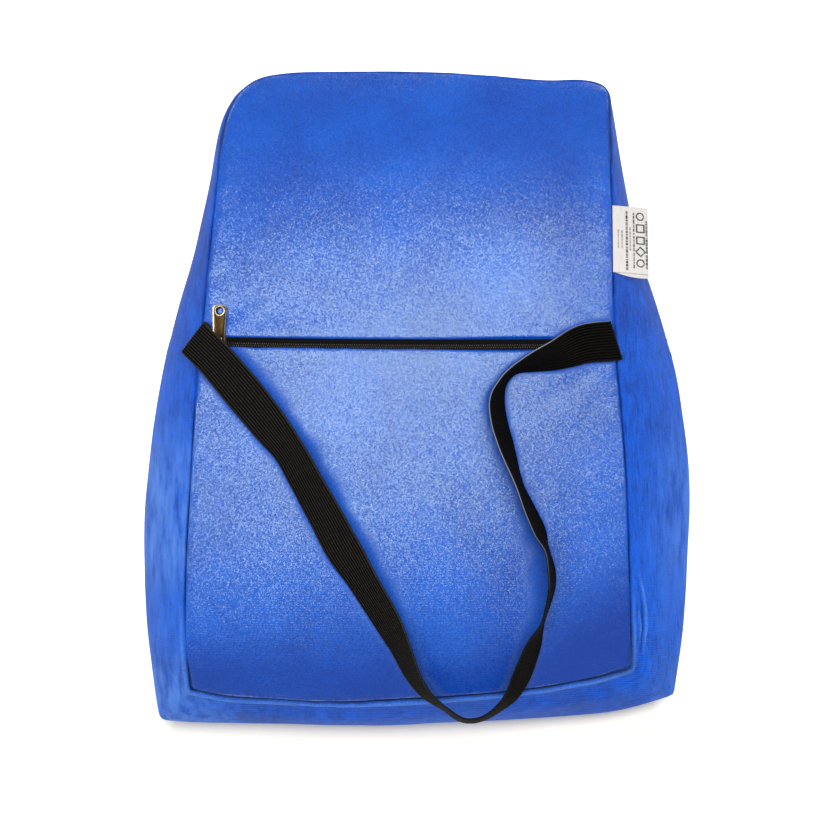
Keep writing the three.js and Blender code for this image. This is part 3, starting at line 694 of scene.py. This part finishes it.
# Elastic strap: woven ribbon with lengthwise ribs, sewn into both side seams
strapSet = {
    "flat": (0.025, 0.628),  # m, width and length before it was sewn in
    "ribs": 14,
    "body": 0.4,  # mm, half thickness between the ribs
    "rib": 0.36,  # mm, height of a rib
    "edge": (0.22, 0.035),  # mm, half thickness at the selvedge, and the share of the width that it takes up
    "pointsPerRib": 6,
    "rowsPerStep": 3,
    "edgeWave": (0.25, 17.0),  # mm, how far the selvedge wanders and over what length
    "rubbed": (5.0, 1.5, 1.5),  # mm, reach of the flattened pile in the loop at left and right, and outside
    "rubbedSides": (-20, 40),  # mm, x between which that goes over from left to right
    "rubbedWaves": (0.5, 12.0),
    "swept": (76, -114, 32, 10.0),  # mm, where the pile is flattened further in, over what size and how much
    "groove": "#010101",
    # painted highlight on the ribs
    "ribHighlight": "#48453f",
    "selvedges": ("#1c1c20", "#8b909c"),  # as a rule, and a painted highlight where its inner edge turns to the light
    "picks": 1.3,  # mm, cross threads, coarse enough to show
    "lint": 0.9,  # mm
}


# Points on a smooth line through the given ones, with a few between each two
def smoothLine(points, parts):
    ends = np.concatenate([[2 * points[0] - points[1]], points, [2 * points[-1] - points[-2]]])
    line = []
    for a, b, c, d in zip(ends[:-3], ends[1:-2], ends[2:-1], ends[3:]):
        for t in np.arange(parts) / parts:
            line.append(b + 0.5 * t * (c - a + t * (2 * a - 5 * b + 4 * c - d + t * (3 * (b - c) + d - a))))
    return np.array(line + [points[-1]])


# The two edges of a flat bar that was swept from left to right, at the middle of its thickness
def edgesOfBar(node):
    bar = copySolid(node, "workingBar")
    mesh = bar.data
    points = readPoints(mesh)
    links = np.bincount(np.array([e.vertices[:] for e in mesh.edges]).ravel())
    corners = sorted(np.flatnonzero(links == 3).tolist(), key=lambda v: points[v, 0])
    edges = []
    for row in rowsFrom(mesh, corners[:4]):
        section = points[row]
        order = np.argsort(np.linalg.norm(section - section[0], axis=1))
        pair = [section[order[:2]].mean(axis=0), section[order[2:]].mean(axis=0)]
        if edges and np.linalg.norm(pair[0] - edges[-1][0]) > np.linalg.norm(pair[1] - edges[-1][0]):
            pair.reverse()
        edges.append(pair)
    bpy.data.objects.remove(bar)
    edges = np.array(edges)
    return edges[:, 0], edges[:, 1]


# A ribbon between two edge lines; each column is a share across it, a half thickness and how far it is a rib
def ribbonPiece(name, first, second, columns):
    across = second - first
    across /= np.linalg.norm(across, axis=1)[:, None]
    middle = (first + second) / 2
    heading = np.gradient(middle, axis=0)
    face = np.cross(across, heading)
    face /= np.linalg.norm(face, axis=1)[:, None]
    face *= np.sign(face[len(face) // 4, 2])  # the upper face is the one that looks up
    count, rows = len(columns), len(first)
    points = []
    for i in range(rows):
        line = [first[i] + (second[i] - first[i]) * share for share, _, _ in columns]
        points += [p + face[i] * half for p, (_, half, _) in zip(line, columns)]
        points += [p - face[i] * half for p, (_, half, _) in zip(reversed(line), reversed(columns))]
    ring = 2 * count
    faces = gridFaces(rows, ring, True)
    for i in (0, rows - 1):
        for j in range(count - 1):
            a, b = i * ring + j, i * ring + ring - 1 - j
            faces.append((a, b, b - 1, a + 1))
    piece = newPiece(name, points, faces)
    lengths = np.concatenate([[0], np.cumsum(np.linalg.norm(np.diff(middle, axis=0), axis=1))])
    width = np.linalg.norm(second[rows // 2] - first[rows // 2])
    weave = [(share * width, length, rib) for length in lengths for share, _, rib in columns + columns[::-1]]
    storeValues(piece.data, "weave", weave, "FLOAT_VECTOR", "vector")
    turnOutward(piece)
    return piece


# Marks where the strap has rubbed the pile flat: close beside it, and further out inside its slack loop
def pressPile(cover, first, second):
    points = readPoints(cover.data) / mm
    x, y, _ = points.T
    first, second = first[:, :2] / mm, second[:, :2] / mm
    away = np.minimum(planDistance(points, first), planDistance(points, second))
    line = (first + second) / 2
    inside = np.zeros(len(points), bool)
    for (ax, ay), (bx, by) in zip(line, np.roll(line, -1, axis=0)):
        if abs(by - ay) > 1e-6:
            crossing = (y > min(ay, by)) & (y <= max(ay, by))
            inside ^= crossing & (x < ax + (y - ay) * (bx - ax) / (by - ay))
    atLeft, atRight, outside = strapSet["rubbed"]
    inner = atLeft + (atRight - atLeft) * smoothStep(*strapSet["rubbedSides"], x)
    sweptX, sweptY, size, added = strapSet["swept"]
    inner = inner + added * bump(np.hypot(x - sweptX, y - sweptY), size)
    share, size = strapSet["rubbedWaves"]
    reach = np.where(inside, inner, outside) * (1 + share * unevenness(points, size, 8))
    storeValues(cover.data, "pressed", bump(away, reach))


def buildStrap():
    first, second = (smoothLine(line, strapSet["rowsPerStep"]) for line in edgesOfBar("strap"))
    pressPile(cover, first, second)
    height, size = strapSet["edgeWave"]
    across = (second - first) / np.linalg.norm(second - first, axis=1)[:, None]
    first = first + across * (height * mm * unevenness(first, size * mm, 4))[:, None]
    second = second + across * (height * mm * unevenness(second, size * mm, 5))[:, None]
    steps = strapSet["ribs"] * strapSet["pointsPerRib"]
    edge, taken = strapSet["edge"]
    columns = []
    for share in np.arange(steps + 1) / steps:
        rib = math.sin(math.pi * strapSet["ribs"] * share) ** 2
        inside = smoothStep(0, taken, min(share, 1 - share))
        half = edge + (strapSet["body"] - edge + strapSet["rib"] * rib) * inside
        columns.append((share, half * mm, max(rib, 2 * (1 - inside))))  # more than 1 at the selvedge
    return ribbonPiece("elasticStrap", first, second, columns)


# Ribbed elastic: black polyester round rubber threads, dull in the grooves, with a painted highlight on the
# ribs of its left run, fine cross threads, and a painted highlight on the selvedge at the right
def elasticMaterial():
    material, add = newMaterial("ribbed black elastic")
    s = strapSet
    place = add("TexCoord", {}, "Object")
    weave = add("Attribute", {}, "Vector", attribute_name="weave")
    across, along, rib = add("SeparateXYZ", {"Vector": weave}).node.outputs
    picks = add("TexWave", {
        "Vector": weave, "Scale": 100 * math.pi / s["picks"], "Distortion": 1.0, "Detail": 1.0},
        "Fac", wave_type="BANDS", bands_direction="Y")
    lint = add("TexNoise", {"Vector": place, "Scale": 1000 / s["lint"], "Detail": 2.0})

    # Soft steps: what each follows, from and to, and its value there; lengths along the strap are in m
    crossed, leftRun, edge, taut = (add("MapRange", dict(enumerate(values))) for values in (
        (picks, 0.0, 1.0, 0.5, 1.3), (along, 0.26, 0.32, 1.0, 0.3), (rib, 1.2, 1.9), (along, 0.41, 0.48)))
    # Painted highlight on the ribs, strongest on the left run that faces the light
    ribHighlight = add("Math", {0: rib, 1: 2.0}, operation="POWER")
    for share in (lint, crossed, leftRun):
        ribHighlight = add("Math", {0: ribHighlight, 1: share}, operation="MULTIPLY")
    # Painted highlight on the inner selvedge of the taut right run
    inner = add("Math", {0: across, 1: s["flat"][0] / 2}, operation="GREATER_THAN")
    shown = add("Math", {0: inner, 1: taut}, operation="MULTIPLY")
    tone = add("Mix", {"Factor": ribHighlight, 6: s["groove"], 7: s["ribHighlight"]}, 2, data_type="RGBA")
    dark, paleHighlight = s["selvedges"]
    selvedge = add("Mix", {"Factor": shown, 6: dark, 7: paleHighlight}, 2, data_type="RGBA")
    tone = add("Mix", {"Factor": edge, 6: tone, 7: selvedge}, 2, data_type="RGBA")
    height = add("Math", {0: lint, 1: 0.6, 2: picks}, operation="MULTIPLY_ADD")
    relief = add("Bump", {"Height": height, "Strength": 0.35, "Distance": 0.2 * mm})
    return finishMaterial(material, {
        "Base Color": tone, "Roughness": 0.65, "Specular IOR Level": 0.05, "Normal": relief})


strap = buildStrap()
strap.data.materials.append(elasticMaterial())
pick(strap)
bpy.ops.object.shade_smooth()
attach(strap, "root")
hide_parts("strap")
print("strap woven,", len(strap.data.polygons), "faces")

# Zip chain: two woven tapes with a closed coil of small teeth
chainSet = {
    "width": 6.4,  # mm
    "tape": 0.5,  # mm, half thickness of the tapes
    "tapeEdge": (0.3, 0.06),  # share of the thickness left at the edge, and of the width that it takes up
    "tapeGap": (0.6, 0.03),  # the two tapes meet in the middle: share that is cut away, and of the width
    "rise": 1.0,  # mm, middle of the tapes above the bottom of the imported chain
    "pitch": 1.4,  # mm, from tooth to tooth
    "tooth": (0.46, 0.9, 0.5),  # mm, half sizes along, across and up
    "coil": -1.2,  # mm, the coil lies low in the strip
    "toothAside": 0.7,  # mm, from the middle of the coil
    "toothRise": 0.1,  # mm, above the tapes
    "cords": (0.3, 0.9, 2.3),  # mm, radius of the sewing cords above the coil and their places
    "cordSink": 0.05,  # mm, into the tapes
    "cordSides": 8,
    "columns": 16,
}


# Zip tape: black woven polyester, almost without gloss
def tapeMaterial():
    material, add = newMaterial("black woven tape")
    place = add("TexCoord", {}, "Object")
    lint = add("TexNoise", {"Vector": place, "Scale": 1000 / 0.8, "Detail": 2.0})  # 0.8 mm
    tone = add("Mix", {"Factor": lint, 6: "#040404", 7: "#141313"}, 2, data_type="RGBA")
    relief = add("Bump", {"Height": lint, "Strength": 0.3, "Distance": 0.15 * mm})
    return finishMaterial(material, {
        "Base Color": tone, "Roughness": 0.8, "Specular IOR Level": 0.15, "Normal": relief})


# Zip coil: moulded black nylon; each tooth has a small warm highlight
def coilMaterial():
    material, _ = newMaterial("black nylon coil")
    return finishMaterial(material, {"Base Color": "#2a251d", "Roughness": 0.25, "Specular IOR Level": 0.9})


def buildChain():
    half = chainSet["width"] / 2 * mm
    line = smoothLine(zipLine + np.array([0, 0, chainSet["rise"] * mm]), 3)
    aside = np.array([0, half, 0])
    left, taken = chainSet["tapeEdge"]
    cut, cutWidth = chainSet["tapeGap"]
    columns = []
    for share in np.arange(chainSet["columns"] + 1) / chainSet["columns"]:
        inside = smoothStep(0, taken, min(share, 1 - share))
        gap = 1 - cut * bump(share - 0.5, cutWidth)
        columns.append((share, chainSet["tape"] * mm * (left + (1 - left) * inside) * gap, 0.0))
    tape = ribbonPiece("zipChain", line - aside, line + aside, columns)
    tape.data.materials.append(tapeMaterial())

    bpy.ops.object.select_all(action="DESELECT")
    bpy.ops.mesh.primitive_uv_sphere_add(segments=8, ring_count=6, radius=mm)
    tooth = bpy.context.object
    tooth.scale = chainSet["tooth"]
    bpy.ops.object.transform_apply(location=False, rotation=False, scale=True)
    tooth.data.materials.append(coilMaterial())
    teeth = [tooth]
    count = int((line[-1, 0] - line[0, 0]) / (chainSet["pitch"] * mm))
    for i in range(1, 2 * count):
        copy = tooth.copy()
        copy.data = tooth.data.copy()
        scene.collection.objects.link(copy)
        teeth.append(copy)
    for i, piece in enumerate(teeth):
        x = line[0, 0] + (i + 1) / 2 * chainSet["pitch"] * mm
        side = chainSet["toothAside"] * mm * (1 if i % 2 else -1)
        y = np.interp(x, line[:, 0], line[:, 1]) + chainSet["coil"] * mm + side
        z = np.interp(x, line[:, 0], line[:, 2]) + (chainSet["tape"] + chainSet["toothRise"]) * mm
        piece.data.transform(Matrix.Translation((x, y, z)))

    cords = []
    radius, *places = (value * mm for value in chainSet["cords"])
    sides = chainSet["cordSides"]
    turns = [(math.cos(a) * radius, math.sin(a) * radius) for a in np.arange(sides) * 2 * math.pi / sides]
    up = (chainSet["tape"] - chainSet["cordSink"]) * mm
    for side in places:
        points = [(x, y + side + c, z + up + s) for x, y, z in line for c, s in turns]
        ends = [tuple(range(sides - 1, -1, -1)), tuple(range(len(points) - sides, len(points)))]
        cords.append(newPiece("zipCord", points, gridFaces(len(line), sides, True) + ends))
        cords[-1].data.materials.append(tape.data.materials[0])

    pick(tape)
    for piece in teeth + cords:
        piece.select_set(True)
    bpy.ops.object.join()
    turnOutward(tape)
    return tape


chain = buildChain()
pick(chain)
bpy.ops.object.shade_smooth()
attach(chain, "root")
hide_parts("zip_chain")
print("zip chain made,", len(chain.data.polygons), "faces")

# Zip slider and pull, in mm: cast, plated and rubbed, modelled flat at the origin and then seated on the zip
sliderSet = {
    "length": 8.6,
    "width": 8.0,
    "nose": 0.78,  # share of the width at the narrow end
    "plate": 1.4,
    "dish": (0.9, 1.2, 0.3),  # rim, floor round the stem, and depth of the hollow in the plate
    "stem": (1.9, 2.8),  # side and height of the stem that the pull swings on
    "cap": (4.6, 0.8),
    "bevel": 0.35,
}
pullSet = {
    "length": 26.0,
    "tip": 9.0,
    "root": 6.8,
    "thickness": 1.6,
    "corner": 2.9,
    "hole": (1.85, 2.7, 3.2, 3.75),  # radius below and above, radius of its collar and distance from the tip
    "spare": 0.1,  # by which the collar is lower than the rim, and the drill longer
    "sides": 28,  # of the hole
    "window": (2.9, 2.8),  # side, and distance of its middle from the root
    "rim": 0.95,
    "sunk": 0.65,
    "bevel": 0.22,
}


# Selects the vertices or faces that a rule picks, in edit mode
def choose(kind, rule):
    mesh = bmesh.from_edit_mesh(bpy.context.object.data)
    bpy.ops.mesh.select_all(action="DESELECT")
    bpy.ops.mesh.select_mode(type=kind)
    for part in mesh.verts if kind == "VERT" else mesh.faces:
        part.select_set(bool(rule(part)))
    mesh.select_flush_mode()
    bmesh.update_edit_mesh(bpy.context.object.data)


def slide(x, y, z):
    bpy.ops.transform.translate(value=(x * mm, y * mm, z * mm))


def extrudeUp(height):
    bpy.ops.mesh.extrude_region_move(TRANSFORM_OT_translate={"value": (0, 0, height * mm)})


# How a solid lies: its upper face's normal, its length near +Y, and its lowest middle point
def seatOf(node, fromRoot):
    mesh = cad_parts[node].data
    up = sum((f.normal * f.area for f in mesh.polygons if f.normal.z > 0.8), Vector()).normalized()
    ahead = Vector((0, 1, 0))
    ahead = (ahead - up * ahead.dot(up)).normalized()
    aside = ahead.cross(up)
    axes = np.array([aside, ahead, up])
    spread = np.array([v.co for v in mesh.vertices]) @ axes.T
    low, high = spread.min(axis=0), spread.max(axis=0)
    place = np.array([(low[0] + high[0]) / 2, low[1] if fromRoot else (low[1] + high[1]) / 2, low[2]])
    seat = Matrix(axes.T.tolist()).to_4x4()
    seat.translation = Vector(axes.T @ place)
    return seat


# Joins another piece to a piece, or cuts it out
def combine(piece, other, operation):
    applyModifier(piece, "BOOLEAN", object=other, operation=operation, solver="EXACT")
    bpy.data.objects.remove(other)


# Softens the sharp edges, keeps how high each point was and seats the piece on the zip
def finishCasting(piece, bevel, seat):
    sharp = math.radians(35)
    applyModifier(piece, "BEVEL", width=bevel * mm, segments=2, limit_method="ANGLE", angle_limit=sharp)
    heights = readPoints(piece.data)[:, 2]
    storeValues(piece.data, "rubbed", (heights - heights.min()) / (heights.max() - heights.min()))
    piece.data.transform(seat)
    pick(piece)
    bpy.ops.object.shade_smooth_by_angle(angle=math.radians(40))


def buildSlider():
    s = sliderSet
    bpy.ops.object.select_all(action="DESELECT")
    bpy.ops.mesh.primitive_cube_add(size=mm)
    slider = bpy.context.object
    slider.name = "zipSlider"
    bpy.ops.object.mode_set(mode="EDIT")
    bpy.ops.transform.resize(value=(s["length"], s["width"], s["plate"]))
    slide(0, 0, s["plate"] / 2)
    choose("FACE", lambda f: f.normal.x < -0.9)
    bpy.ops.transform.resize(value=(1, s["nose"], 1))
    side, height = s["stem"]
    rim, hollow, sunk = s["dish"]
    choose("FACE", lambda f: f.normal.z > 0.9)
    bpy.ops.mesh.inset(thickness=rim * mm)
    slide(0, 0, -sunk)
    bpy.ops.mesh.inset(thickness=hollow * mm)
    inset = 2 * (rim + hollow)
    meanWidth = s["width"] * (1 + s["nose"]) / 2
    bpy.ops.transform.resize(value=(side / (s["length"] - inset), side / (meanWidth - inset), 1))
    extrudeUp(height + sunk)
    wide, thick = s["cap"]
    extrudeUp(0)
    bpy.ops.transform.resize(value=(wide / side, wide / side, 1))
    extrudeUp(thick)
    bpy.ops.object.mode_set(mode="OBJECT")
    finishCasting(slider, s["bevel"], seatOf("zip_slider", False))
    return slider


def buildPull():
    p = pullSet
    bpy.ops.object.select_all(action="DESELECT")
    bpy.ops.mesh.primitive_plane_add(size=mm)
    pull = bpy.context.object
    pull.name = "zipPull"
    bpy.ops.object.mode_set(mode="EDIT")
    bpy.ops.transform.resize(value=(p["tip"], p["length"], 1))
    slide(0, p["length"] / 2, 0)
    choose("VERT", lambda v: v.co.y < mm)
    bpy.ops.transform.resize(value=(p["root"] / p["tip"], 1, 1))
    bpy.ops.mesh.select_all(action="SELECT")
    bpy.ops.mesh.bevel(offset=p["corner"] * mm, segments=5, affect="VERTICES")
    bpy.ops.mesh.select_all(action="SELECT")
    extrudeUp(p["thickness"])
    choose("FACE", lambda f: f.calc_center_median().z > mm and abs(f.normal.z) > 0.9)
    bpy.ops.mesh.inset(thickness=p["rim"] * mm)
    slide(0, 0, -p["sunk"])
    bpy.ops.mesh.select_all(action="SELECT")
    bpy.ops.mesh.normals_make_consistent(inside=False)
    bpy.ops.object.mode_set(mode="OBJECT")

    below, above, collar, inset = (value * mm for value in p["hole"])
    thick, spare = p["thickness"] * mm, p["spare"] * mm
    middle = Matrix.Translation((0, p["length"] * mm - inset, thick / 2))
    bpy.ops.object.select_all(action="DESELECT")
    bpy.ops.mesh.primitive_cylinder_add(vertices=p["sides"], radius=collar, depth=thick - spare)
    ring = bpy.context.object
    ring.data.transform(middle)
    combine(pull, ring, "UNION")
    bpy.ops.object.select_all(action="DESELECT")
    bpy.ops.mesh.primitive_cone_add(vertices=p["sides"], radius1=below, radius2=above, depth=thick + spare)
    drill = bpy.context.object
    drill.data.transform(middle)
    combine(pull, drill, "DIFFERENCE")
    side, place = p["window"]
    bpy.ops.object.select_all(action="DESELECT")
    bpy.ops.mesh.primitive_cube_add(size=side * mm)
    window = bpy.context.object
    window.data.transform(Matrix.Diagonal((1, 1, 3, 1)))
    window.data.transform(Matrix.Translation((0, place * mm, 0)))
    combine(pull, window, "DIFFERENCE")
    finishCasting(pull, p["bevel"], seatOf("zip_pull", True))
    return pull


# Antique brass: plated zinc, dark brown in its hollows and rubbed pale gold on its raised rims
def brassMaterial():
    material, add = newMaterial("antique brass")
    place = add("TexCoord", {}, "Object")
    rubbed = add("Attribute", {}, "Fac", attribute_name="rubbed")
    stains = add("TexNoise", {  # 2.5 mm
        "Vector": place, "Scale": 1000 / 2.5, "Detail": 4.0, "Roughness": 0.65})
    scratches = add("TexNoise", {"Vector": place, "Scale": 1000 / 0.5, "Detail": 2.0})  # 0.5 mm
    wear = add("Math", {0: stains, 1: 0.5, 2: rubbed}, operation="MULTIPLY_ADD")
    share = add("MapRange", {"Value": wear, "From Min": 0.9, "From Max": 1.15})
    tone = add("Mix", {"Factor": share, 6: "#64502e", 7: "#fff0cc"}, 2, data_type="RGBA")
    dull = add("MapRange", {"Value": share, "To Min": 0.55, "To Max": 0.42})
    relief = add("Bump", {"Height": scratches, "Strength": 0.15, "Distance": 0.1 * mm})
    return finishMaterial(material, {
        "Base Color": tone, "Metallic": 1.0, "Roughness": dull, "Normal": relief})


brass = brassMaterial()
for casting, node in ((buildSlider(), "zip_slider"), (buildPull(), "zip_pull")):
    casting.data.materials.clear()
    casting.data.materials.append(brass)
    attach(casting, "root")
    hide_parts(node)
    print(casting.name, "cast,", len(casting.data.polygons), "faces")

# Care label: a satin ribbon folded in two, its ends in the right seam
labelSet = {
    "flat": (0.042, 0.044),  # m, width of the ribbon and its length before folding
    "layerGap": 1.1,  # mm, between the two layers at the seam
    "gapGrowth": 0.6,  # share by which they are further apart at the fold
    "thickness": 0.3,  # mm
    "sag": 2.0,  # mm, how far the outer fold droops
    "wave": 0.7,  # mm, how far it waves up and down
    "tuck": 1.2,  # mm, how far it goes into the seam
    "past": 0.5,  # mm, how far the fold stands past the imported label
    "shear": 2.4,  # mm, how far the lower layer shows below the upper one
    "steps": (48, 108),  # along one layer and along the fold
    # Rows of plain strokes: share from seam to fold, from and to along it, darkness, and half width in mm
    "rows": [
        (0.1, 0.36, 0.62, 0.6, 0.45), (0.23, 0.37, 0.64, 0.65, 0.45), (0.36, 0.07, 0.93, 1.0, 0.65),
        (0.47, 0.31, 0.67, 0.7, 0.45), (0.58, 0.09, 0.91, 1.0, 0.6), (0.97, 0.2, 0.9, 1.0, 0.6),
    ],
    "stroke": (0.8, 2.6, 0.45),  # mm, shortest and longest stroke, and the gap between
    "signs": (0.78, 2.2, 0.42),  # share from seam to fold, half size and half line width in mm
    "signPlaces": (0.14, 0.32, 0.5, 0.67, 0.84),  # shares along the fold
}


# Darkness of the printed marks: rows of strokes, and a column of circles, squares and a diamond
def labelInk(out, along, width, reach):
    ink = np.zeros(len(out))
    chance = np.random.default_rng(5)
    shortest, longest, gap = (value * mm for value in labelSet["stroke"])
    for place, start, end, dark, half in labelSet["rows"]:
        near = np.abs(out - place * reach) < half * mm
        at = start * width
        while at < end * width:
            length = chance.uniform(shortest, longest)
            ink[near & (along > at) & (along < at + length)] = dark * chance.uniform(0.7, 1)
            at += length + gap
    place, size, line = labelSet["signs"]
    for i, middle in enumerate(labelSet["signPlaces"]):
        x, y = (out - place * reach) / mm, (along - middle * width) / mm
        circle, square, diamond = np.hypot(x, y), np.maximum(abs(x), abs(y)), (abs(x) + abs(y)) * 0.75
        ink[np.abs((circle, square, square, diamond, circle)[i] - size) < line] = 1.0
    return ink


def buildLabel():
    low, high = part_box("care_label")
    points = np.array([v.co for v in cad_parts["care_label"].data.vertices])
    sewn = points[points[:, 0] < low.x + 0.1 * mm]
    places = np.unique(sewn[:, 1].round(5))
    heights = np.array([sewn[np.abs(sewn[:, 1] - y) < 0.02 * mm, 2].min() for y in places])
    reach, width = high.x - low.x, places[-1] - places[0]
    slant = low.y - places[0]
    thickness, gap, sag, wave, tuck, past, shear = (
        labelSet[name] * mm for name in ("thickness", "layerGap", "sag", "wave", "tuck", "past", "shear"))
    layerSteps, lengthSteps = labelSet["steps"]
    turn = np.linspace(-math.pi / 2, math.pi / 2, 9)
    radius = gap / 2
    straight = np.linspace(-tuck, reach + past - radius, layerSteps)
    path = [(x, 0.0, 0.0) for x in straight[:-1]]
    for a in turn:
        path.append((straight[-1] + radius * math.cos(a), radius * (1 + math.sin(a)), a / math.pi + 0.5))
    path += [(x, gap, 1.0) for x in straight[-2::-1]]
    grid, printed = [], []
    for share in np.linspace(0, 1, lengthSteps + 1):
        y = places[0] + width * share
        seamHeight = np.interp(y, places, heights) + thickness
        for x, up, layer in path:
            out = max(x, 0) / reach
            drop = sag * out * out
            lift = wave * math.sin(math.pi * share * 1.5 + 0.4) * out
            askew = slant * out * (2 - out) * (1 - layer) + (slant + shear) * out * layer
            height = seamHeight + up * (1 + labelSet["gapGrowth"] * out) - drop + lift
            grid.append((low.x + x, y + askew, height))
            printed.append((x, width * (1 - share), layer))
    label = newPiece("careLabel", grid, gridFaces(lengthSteps + 1, len(path), False))
    printed = np.array(printed)
    ink = labelInk(printed[:, 0], printed[:, 1], width, reach) * (printed[:, 2] > 0.5)
    storeValues(label.data, "ribbon", printed, "FLOAT_VECTOR", "vector")
    storeValues(label.data, "ink", ink)
    applyModifier(label, "SOLIDIFY", thickness=thickness, offset=0)
    turnOutward(label)
    bpy.ops.object.shade_smooth()
    return label


# Satin ribbon: fine off-white polyester with a soft gloss; its print is only plain strokes and outlines
def satinMaterial():
    material, add = newMaterial("satin ribbon")
    ribbon = add("Attribute", {}, "Vector", attribute_name="ribbon")
    ink = add("Attribute", {}, "Fac", attribute_name="ink")
    drawn = add("Mapping", {  # threads 0.6 mm wide and 6 mm long
        "Vector": ribbon, "Scale": (1000 / 0.6, 1000 / 6.0, 1.0)})
    threads = add("TexNoise", {"Vector": drawn, "Scale": 1.0, "Detail": 2.0})
    tone = add("Mix", {"Factor": threads, 6: "#cfcac6", 7: "#e9e5e0"}, 2, data_type="RGBA")
    tone = add("Mix", {"Factor": ink, 6: tone, 7: "#26241f"}, 2, data_type="RGBA")
    relief = add("Bump", {"Height": threads, "Strength": 0.2, "Distance": 0.1 * mm})
    return finishMaterial(material, {
        "Base Color": tone, "Roughness": 0.5, "Specular IOR Level": 0.4, "Normal": relief})


label = buildLabel()
label.data.materials.append(satinMaterial())
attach(label, "root")
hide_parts("care_label")
print("label folded,", len(label.data.polygons), "faces")

# Plain pale floor; it glows all round, and less under the cushion and just in front, where its shadow lies
floorSet = {
    "size": 8.0,
    "drop": 0.2,  # mm, below the cushion's foot
    "colour": "#fff9ea",
    "glow": (0.7, 0.1),
    "ends": (0.2, -0.244),  # m, top and bottom end of the dim patch
    "halves": (0.1, 0.185),  # m, its half width at either end
    "fade": 0.02,
}


# Matt white paper without gloss, with a painted glow all round that is weaker under the cushion and just in
# front, so that the cushion's shadow shows only there
def floorMaterial():
    material, add = newMaterial("matt paper")
    place = add("TexCoord", {}, "Object")
    x, y, _ = add("SeparateXYZ", {"Vector": place}).node.outputs
    top, bottom = floorSet["ends"]
    half = add("MapRange", dict(enumerate((y, top, bottom, *floorSet["halves"]))))
    aside = add("Math", {0: x}, operation="ABSOLUTE")
    dim = 1.0
    for inner, outer in ((half, aside), (top, y), (y, bottom)):
        inward = add("Math", {0: inner, 1: outer}, operation="SUBTRACT")
        inside = add("MapRange", {"Value": inward, "From Max": floorSet["fade"]})
        dim = add("Math", {0: inside, 1: dim}, operation="MULTIPLY")
    around, under = floorSet["glow"]
    glow = add("MapRange", {"Value": dim, "To Min": around, "To Max": under})
    return finishMaterial(material, {
        "Base Color": floorSet["colour"], "Roughness": 0.9,
        "Emission Color": "#ffffff", "Emission Strength": glow})


bpy.ops.object.select_all(action="DESELECT")
bpy.ops.mesh.primitive_plane_add(size=floorSet["size"], location=(0, 0, -floorSet["drop"] * mm))
floor = bpy.context.object
floor.name = "floor"
floor.data.materials.append(floorMaterial())

# Soft studio light: a long box overhead that the pile mirrors, a second behind the top end and a white room
lightSet = {
    "overhead": {"place": (-0.04, 0.178, 2.2), "size": (2.4, 0.45), "turn": 12, "power": 30.5, "gloss": True},
    "behind": {"place": (0.0, 0.29, 2.2), "size": (1.2, 0.5), "turn": 0, "power": 20.5, "gloss": False},
}
roomLight = 0.17

for name, each in lightSet.items():
    softbox = bpy.data.objects.new(name, bpy.data.lights.new(name, "AREA"))
    softbox.location = each["place"]
    softbox.rotation_euler.z = math.radians(each["turn"])
    softbox.data.shape = "RECTANGLE"
    softbox.data.size, softbox.data.size_y = each["size"]
    softbox.data.energy = each["power"]
    softbox.visible_glossy = each["gloss"]
    scene.collection.objects.link(softbox)

room = bpy.data.worlds.new("room")
room.use_nodes = True
room.node_tree.nodes["Background"].inputs["Color"].default_value = (1, 1, 1, 1)
room.node_tree.nodes["Background"].inputs["Strength"].default_value = roomLight
scene.world = room
scene.view_settings.view_transform = "Standard"
print("floor and light set")
